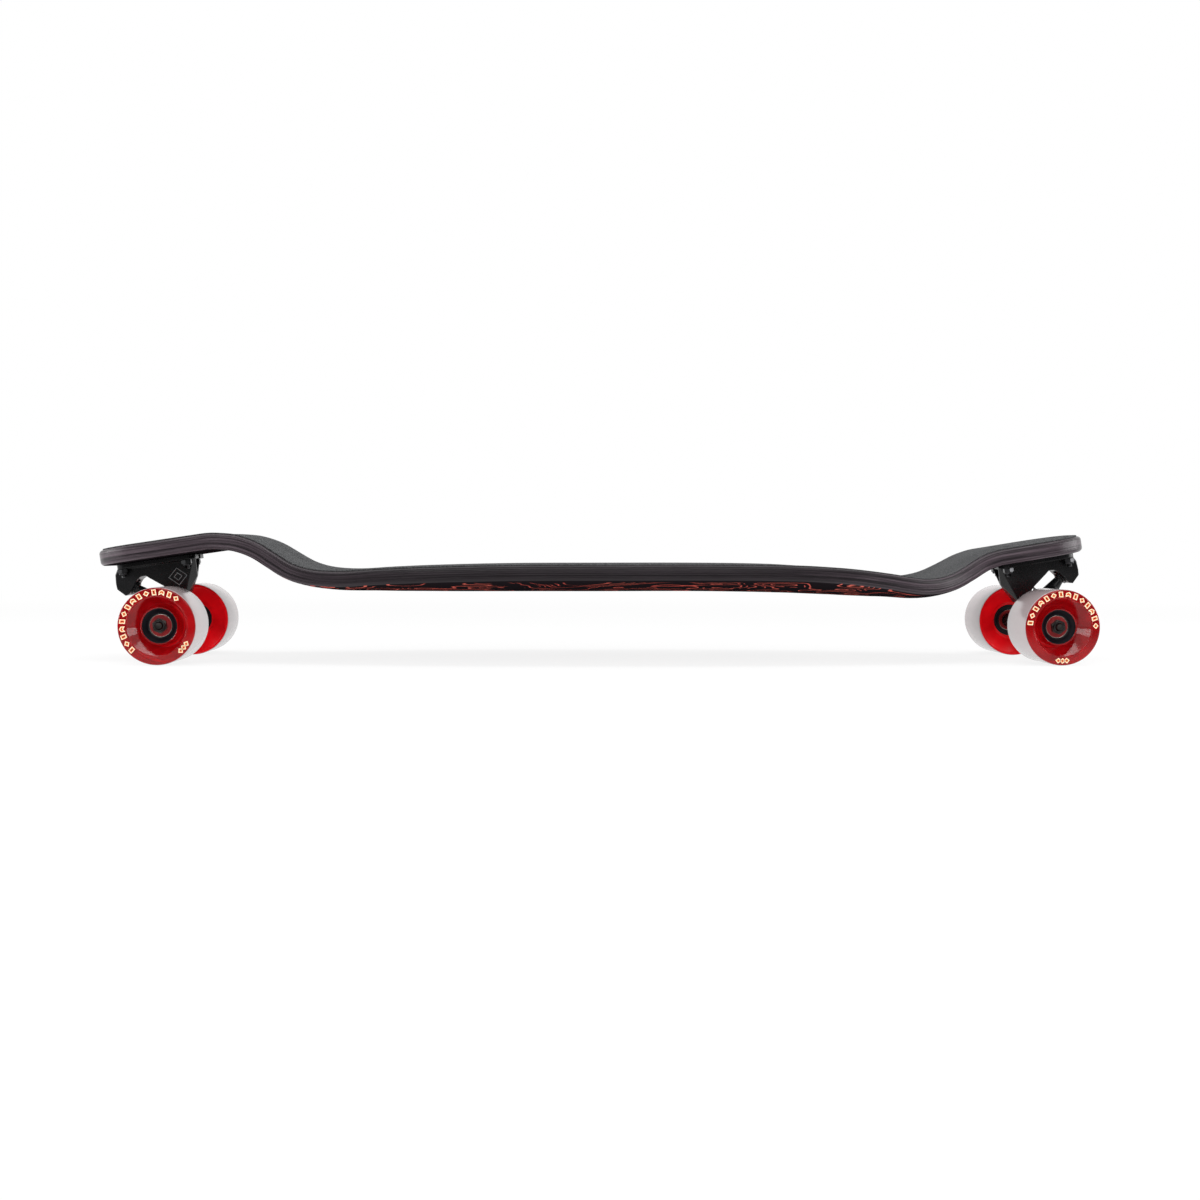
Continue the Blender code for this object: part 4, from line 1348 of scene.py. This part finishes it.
def truck_shapes():
    """One of each piece: base and bolt in the truck's frame, the rest in their own."""
    base = base_casting()
    hanger = hanger_casting()
    kingpin = make_kingpin()
    bore = KINGPIN_RADIUS + CLEARANCE
    bolt_bore = BOLT_RADIUS + 0.0002
    axle_bore = AXLE_RADIUS + 0.0002
    king_nut, king_insert = lock_nut("kingpin_nut", KINGPIN_HEX, NUT_HEIGHT, bore)
    bolt_nut, bolt_insert = lock_nut("bolt_nut", BOLT_NUT_WIDTH, BOLT_NUT_HEIGHT, bolt_bore)
    axle_nut, axle_insert = lock_nut("axle_nut", AXLE_NUT_WIDTH, NUT_HEIGHT, axle_bore)
    cap = BUSHING_HIGH_TOP + CLEARANCE
    high_washer = ring_piece("board_washer", bore, 0.0130, cap, cap + WASHER_THICKNESS)
    seat = WASHER_SEAT - WASHER_THICKNESS
    low_washer = ring_piece("road_washer", bore, 0.0100, seat, WASHER_SEAT)
    high_bush = bushing("board_bushing", 0.0120, 0.0120, HALF_RING + CLEARANCE, BUSHING_HIGH_TOP)
    low_bush = bushing("road_bushing", 0.0092, 0.0112, BUSHING_LOW_SEAT, BUSHING_LOW_TOP)
    washer = ring_piece("speed_washer", axle_bore, 0.0061, 0, SPEED_WASHER, soft=0.0002)
    return {
        "base": base,
        "hanger": hanger,
        "kingpin": finished(kingpin, ZINC),
        "king_nut": finished(king_nut, ZINC, angle=30),
        "king_insert": finished(king_insert, NYLON),
        "bolt": finished(make_bolt(), BLACK_ZINC, angle=30),
        "bolt_nut": finished(bolt_nut, BLACK_ZINC, angle=30),
        "bolt_insert": finished(bolt_insert, NYLON),
        "high_washer": finished(high_washer, ZINC),
        "low_washer": finished(low_washer, ZINC),
        "high_bush": finished(high_bush, BUSH_BLACK),
        "low_bush": finished(low_bush, BUSH_BLACK),
        "cup": finished(pivot_cup(), BUSH_BLACK),
        "axle": finished(axle_rod(), DARK_STEEL),
        "axle_nut": finished(axle_nut, DARK_STEEL, angle=30),
        "axle_insert": finished(axle_insert, NYLON),
        "washer": finished(washer, ZINC),
    }


def make_truck(end, place, shapes):
    """One truck at its place, on the board's body and the hanger's, and its two wheels."""
    steering = place @ STEERING
    turning = f"{end}_hanger_body"
    upside_down = Matrix.Rotation(math.pi, 4, "X")

    def put(shape, name, matrix, body, slot, *nodes):
        piece = copied(shapes[shape], f"{end}_{name}", matrix)
        settle(piece, body, slot, *[f"{end}_{node}" for node in nodes])

    put("base", "base_casting", place, "board", "black_cast_metal", "baseplate")
    put("cup", "pivot_liner", place @ ALONG, "board", "black_urethane", "pivot_cup")
    put("kingpin", "king_bolt", steering, "board", "bright_steel", "kingpin")
    put("high_washer", "upper_cup_washer", steering, "board", "bright_steel", "board_washer")
    put("low_washer", "lower_cup_washer", steering, "board", "bright_steel", "road_washer")
    for shape, name, node, held, pressed in (
        ("high_bush", "upper_bush", "board_bushing", BUSHING_HIGH_TOP, HALF_RING),
        ("low_bush", "lower_bush", "road_bushing", BUSHING_LOW_SEAT, BUSHING_LOW_TOP),
    ):
        bush = copied(shapes[shape], f"{end}_{name}", steering)
        start, stop = [steering @ Vector((0, 0, height)) for height in (held, pressed)]
        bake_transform(bush)
        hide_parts(f"{end}_{node}")
    nut_seat = WASHER_SEAT - WASHER_THICKNESS - CLEARANCE
    nut_place = steering @ Matrix.Translation((0, 0, nut_seat)) @ upside_down
    put("king_nut", "king_lock_nut", nut_place, "board", "bright_steel", "kingpin_nut")
    put("king_insert", "king_nut_ring", nut_place, "board", "black_plastic")
    under = PLATE_TOP - PLATE_THICKNESS - CLEARANCE
    for number, at in enumerate(BOLT_PLACES, 1):
        spot = place @ Matrix.Translation(at)
        seat = spot @ Matrix.Translation((0, 0, under)) @ upside_down
        nut = f"deck_lock_nut_{number}", seat, "board", "dark_steel", f"bolt_nut_{number}"
        put("bolt", f"deck_bolt_{number}", spot, "board", "dark_steel", f"bolt_{number}")
        put("bolt_nut", *nut)
        put("bolt_insert", f"deck_nut_ring_{number}", seat, "board", "black_plastic")
    put("hanger", "hanger_casting", steering, turning, "black_cast_metal", "hanger")
    put("axle", "axle_rod", place @ ACROSS, turning, "dark_steel", "axle")
    for side in (-1, 1):
        name = "left" if (side > 0) != (end == "rear") else "right"
        hub = place @ Matrix.Translation((0, side * WHEEL_Y, 0))
        hub = hub @ Matrix.Rotation(-side * math.pi / 2, 4, "X")
        reach = BEARING_OUTER_FACE + SPEED_WASHER_GAP
        outer = hub @ Matrix.Translation((0, 0, reach))
        inner = hub @ Matrix.Translation((0, 0, -reach - SPEED_WASHER))
        nut_at = outer @ Matrix.Translation((0, 0, SPEED_WASHER + 0.0001))
        nut = f"{name}_wheel_nut", nut_at, turning, "dark_steel", f"{name}_axle_nut"
        put("washer", f"{name}_outer_speed_washer", outer, turning, "bright_steel")
        put("washer", f"{name}_inner_speed_washer", inner, turning, "bright_steel")
        put("axle_nut", *nut)
        put("axle_insert", f"{name}_wheel_nut_ring", nut_at, turning, "black_plastic")
        make_wheel(end, name, hub)


# Wheels -------------------------------------------------------------------------------------------


def wheel_tyre():
    """The urethane: a flat tread, a rim with a fine bead, and a dish down to the core."""
    half = WHEEL_HALF_WIDTH
    inside = CORE_RADIUS - 0.0006
    bead = half + RIM_BEAD
    corners = (
        (inside, -CORE_HALF_WIDTH, 0),
        (0.0196, -CORE_HALF_WIDTH - 0.0010, 1.2),
        (0.0345, -half, 0.6),
        (TYRE_RADIUS, -half, 0.6),
        (TYRE_RADIUS, half, 1.7),
        (0.0293, half, 0.2),
        (0.0290, bead, 0.3),
        (DISH_RADIUS + RIM_BEAD, bead, 0.5),
        (0.0178, CORE_COLLAR + 0.0005, 0.6),
        (inside, CORE_COLLAR - 0.0002, 0),
    )
    return turned("tyre", softened(corners, 0.0012, 5), steps=128)


def wheel_core():
    """The moulded core, with a collar outside and a seat for each bearing."""
    seat = BEARING_RADIUS + CLEARANCE
    outer = CORE_RADIUS - CLEARANCE
    stop = BEARING_INNER_FACE - CLEARANCE
    ledge = CORE_HALF_WIDTH - 0.0010
    corners = (
        (0.0085, stop, 0),
        (seat, stop, 0),
        (seat, ledge, 0.6),
        (0.0122, ledge, 0.4),
        (0.0127, CORE_HALF_WIDTH, 0.5),
        (0.0158, CORE_COLLAR - 0.0010, 0.4),
        (0.0161, CORE_COLLAR, 0.4),
        (outer, CORE_COLLAR, 0.6),
        (outer, -CORE_HALF_WIDTH, 0.8),
        (0.0150, -CORE_HALF_WIDTH, 0.6),
        (0.0146, -ledge, 0.4),
        (seat, -ledge, 0.6),
        (seat, -stop, 0),
        (0.0085, -stop, 0),
    )
    return turned("core", softened(corners, 0.0006, 3), steps=96)


def bearing():
    """Outer and inner races, with the groove that holds the seal between them."""
    low, high = BEARING_INNER_FACE, BEARING_OUTER_FACE
    groove = high - 0.0008
    corners = (
        (BEARING_BORE, low, 1),
        (BEARING_RADIUS, low, 1),
        (BEARING_RADIUS, high, 1),
        (OUTER_RACE_LIP, high, 0.4),
        (OUTER_RACE_LIP, groove, 0),
        (INNER_RACE_LIP, groove, 0),
        (INNER_RACE_LIP, high, 0.6),
        (BEARING_BORE, high, 1),
    )
    return turned("bearing", softened(corners, 0.0003, 3), steps=80)


def seal():
    """The bearing's pressed rubber shield."""
    high = BEARING_OUTER_FACE
    corners = (
        (0.0058, high - 0.0009, 0),
        (0.0105, high - 0.0009, 0),
        (0.0105, high - 0.0003, 1),
        (0.0094, high - 0.0002, 1),
        (0.0088, high - 0.0005, 1),
        (0.0066, high - 0.0005, 1),
        (0.0058, high - 0.0002, 1),
    )
    return turned("seal", softened(corners, 0.0003, 3), steps=72)


MARK_TALL = 0.00275
NOTCH = MARK_TALL - 0.0016
MARK_SHAPES = (
    ((-0.0018, -MARK_TALL), (0.0023, -MARK_TALL), (0.0018, MARK_TALL), (-0.0023, MARK_TALL)),
    ((0, -MARK_TALL), (0.0030, 0), (0, MARK_TALL), (-0.0030, 0)),
    (
        (-0.0026, -MARK_TALL),
        (0, -NOTCH),
        (0.0026, -MARK_TALL),
        (0.0026, NOTCH),
        (0, MARK_TALL),
        (-0.0026, NOTCH),
    ),
)
BAR, LOZENGE, ARROWHEAD = range(3)
MARK_RADIUS = 0.0323
BAND_START, BAND_PITCH, BAND_COUNT = 172, 13.0, 14
BADGE_ANGLE, BADGE_PITCH = 270, 7.4
BAND = [
    (BAND_START - index * BAND_PITCH, (BAR, LOZENGE, BAR, ARROWHEAD)[index % 4])
    for index in range(BAND_COUNT)
]
BADGE = [(BADGE_ANGLE + index * BADGE_PITCH, LOZENGE) for index in (-1, 0, 1)]
PRINT_THICKNESS = 0.00004


def wheel_print(name, margin, stroke, lift):
    """A band of outlined bars, lozenges and arrowheads on the rim, and a badge of lozenges."""
    sources = [outline_mark(corners, margin, stroke) for corners in MARK_SHAPES]
    marks = []
    for angle, shape in BAND + BADGE:
        turn = Matrix.Rotation(math.radians(angle - 90), 4, "Z")
        place = turn @ Matrix.Translation((0, MARK_RADIUS, WHEEL_HALF_WIDTH + lift))
        marks.append(copied(sources[shape], "mark", place))
    dropped(*sources)
    return thickened(joined(name, *marks), PRINT_THICKNESS)


# How far each wheel's print is turned on its hub
PRINT_TURNS = {
    ("rear", "right"): math.radians(-136.6),
    ("front", "right"): math.radians(-9.4),
    ("rear", "left"): math.radians(35),
    ("front", "left"): math.radians(-70),
}


def make_wheel(end, side, hub):
    """One wheel, with its outer face towards the hub's Z."""
    body = f"{end}_{side}_wheel"
    turn_over = Matrix.Rotation(math.pi, 4, "X")
    spin = Matrix.Rotation(PRINT_TURNS[end, side], 4, "Z")
    for shape, name, slot, matrix, nodes in (
        ("tyre", "tyre_casting", "red_urethane", spin, ("tyre",)),
        ("core", "wheel_core", "black_plastic", spin, ("core",)),
        ("print_edge", "rim_print_edge", "red_urethane", spin, ()),
        ("print", "rim_print", "red_urethane", spin, ()),
        ("bearing", "outer_races", "bright_steel", Matrix(), ("outer_bearing",)),
        ("seal", "outer_seal", "red_urethane", Matrix(), ()),
        ("bearing", "inner_races", "bright_steel", turn_over, ("inner_bearing",)),
        ("seal", "inner_seal", "red_urethane", turn_over, ()),
    ):
        piece = copied(WHEEL_SHAPES[shape], f"{end}_{side}_{name}", hub @ matrix)
        settle(piece, body, slot, *[f"{end}_{side}_{node}" for node in nodes])


WHEEL_SHAPES = {
    "tyre": finished(wheel_tyre(), URETHANE),
    "core": finished(wheel_core(), CORE_BLACK),
    "bearing": finished(bearing(), RACE, angle=30),
    "seal": finished(seal(), SEAL_RED),
    "print_edge": finished(
        wheel_print("print_edge", margin=0, stroke=0.00145, lift=0.00001),
        ORANGE_INK,
    ),
    "print": finished(
        wheel_print("print", margin=0.00033, stroke=0.0008, lift=PRINT_THICKNESS),
        CREAM_INK,
    ),
}

make_deck()
TRUCK_SHAPES = truck_shapes()
for truck, spot in PLACES.items():
    make_truck(truck, spot, TRUCK_SHAPES)
dropped(*TRUCK_SHAPES.values(), *WHEEL_SHAPES.values())


# Studio -------------------------------------------------------------------------------------------

AMBIENT = 0.6
WHITE = (1, 1, 1, 1)
FLOOR_SIZE = 24
FLOOR_LEVEL = -0.0004
LAMPS = (
    ("overhead", (0, -0.25, 1.9), (0, 0, 0.05), (2.6, 0.5), 17),
    ("left", (-1.75, -0.25, 0.5), (-0.2, 0, 0.05), (1.4, 0.8), 15),
    ("right", (1.75, -0.25, 0.5), (0.2, 0, 0.05), (1.4, 0.8), 15),
    ("front", (0, -2.3, 1.0), (0, 0, 0.05), (2.4, 0.8), 20),
)
CAMERA_PLACE = (-0.0630, -1.58919, 0.10905)
CAMERA_YAW = 0.0417
CAMERA_PITCH = 0.0311
CAMERA_ROLL = 0.0034
FOCAL_LENGTH = 46.496


def ray(look, *kinds):
    """1 for the kinds of ray named."""
    path = look.node("ShaderNodeLightPath").socket.node
    first, *others = [Value(look, path.outputs[f"Is {kind} Ray"]) for kind in kinds]
    for other in others:
        first = first.math("MAXIMUM", other)
    return first


def make_floor():
    """A pale floor that fades to white, keeps the shadow, and mirrors darker towards the front."""
    floor = added(
        "floor",
        bpy.ops.mesh.primitive_plane_add,
        size=FLOOR_SIZE,
        location=(0, 0, FLOOR_LEVEL),
    )
    look = Finish("pale_floor")
    place = look.node("ShaderNodeTexCoord", output="Object")
    away = look.node("ShaderNodeVectorMath", {"operation": "LENGTH"}, {0: place}, "Value")
    grain = look.noise(place, 3, 2)
    colour = look.mix(grain, (0.90, 0.90, 0.90), (0.93, 0.93, 0.93))
    matt = look.principled(base_color=colour, roughness=0.9, specular_ior_level=0.1)
    glow, dim = [
        look.node("ShaderNodeEmission", sockets={"Color": WHITE, "Strength": strength})
        for strength in (1.0, 0.15)
    ]
    near = 0.84
    share = ray(look, "Camera", "Transmission") * (near + away.rise(0.6, 2.4) * (1 - near))
    _, y, _ = look.split(place)
    mirrored = look.blend((0 - y).rise(0.2, 0.6), glow, dim)
    whole = look.blend(ray(look, "Glossy"), look.blend(share, matt, glow), mirrored)
    floor.data.materials.append(look.end(whole))


def make_world():
    """White for the eye, with a dark end to the room for glosses to show."""
    look = Finish("studio", "worlds")
    _, y, _ = look.split(look.node("ShaderNodeTexCoord", output="Generated"))
    dark_end = (0 - y).rise(0.25, 0.9) * 0.82
    seen = ray(look, "Camera", "Transmission") * (1 - AMBIENT)
    strength = AMBIENT + seen + ray(look, "Glossy") * (1 - AMBIENT - dark_end)
    sockets = {"Color": WHITE, "Strength": strength}
    bpy.context.scene.world = look.end(look.node("ShaderNodeBackground", sockets=sockets), "World")


def make_lamp(name, place, aim, size, power):
    """A soft lamp at its place, turned to its aim."""
    light = bpy.data.lights.new(name, "AREA")
    light.shape = "RECTANGLE"
    light.size, light.size_y = size
    light.energy = power
    lamp = bpy.data.objects.new(name, light)
    bpy.context.scene.collection.objects.link(lamp)
    turn = (Vector(aim) - Vector(place)).to_track_quat("-Z", "Y").to_matrix().to_4x4()
    lamp.matrix_world = Matrix.Translation(place) @ turn


def make_camera():
    """The camera, level but for a slight pitch and roll, looking at the board's right side."""
    lens = bpy.data.cameras.new("camera")
    lens.lens = FOCAL_LENGTH
    lens.sensor_width = 36
    lens.clip_start = 0.01
    camera = bpy.data.objects.new("camera", lens)
    bpy.context.scene.collection.objects.link(camera)
    yaw = Matrix.Rotation(-CAMERA_YAW, 4, "Z")
    pitch = Matrix.Rotation(math.pi / 2 - CAMERA_PITCH, 4, "X")
    roll = Matrix.Rotation(CAMERA_ROLL, 4, "Z")
    camera.matrix_world = Matrix.Translation(CAMERA_PLACE) @ yaw @ pitch @ roll
    bpy.context.scene.camera = camera


make_floor()
make_world()
for lamp in LAMPS:
    make_lamp(*lamp)
make_camera()
bpy.context.scene.view_settings.view_transform = "Standard"
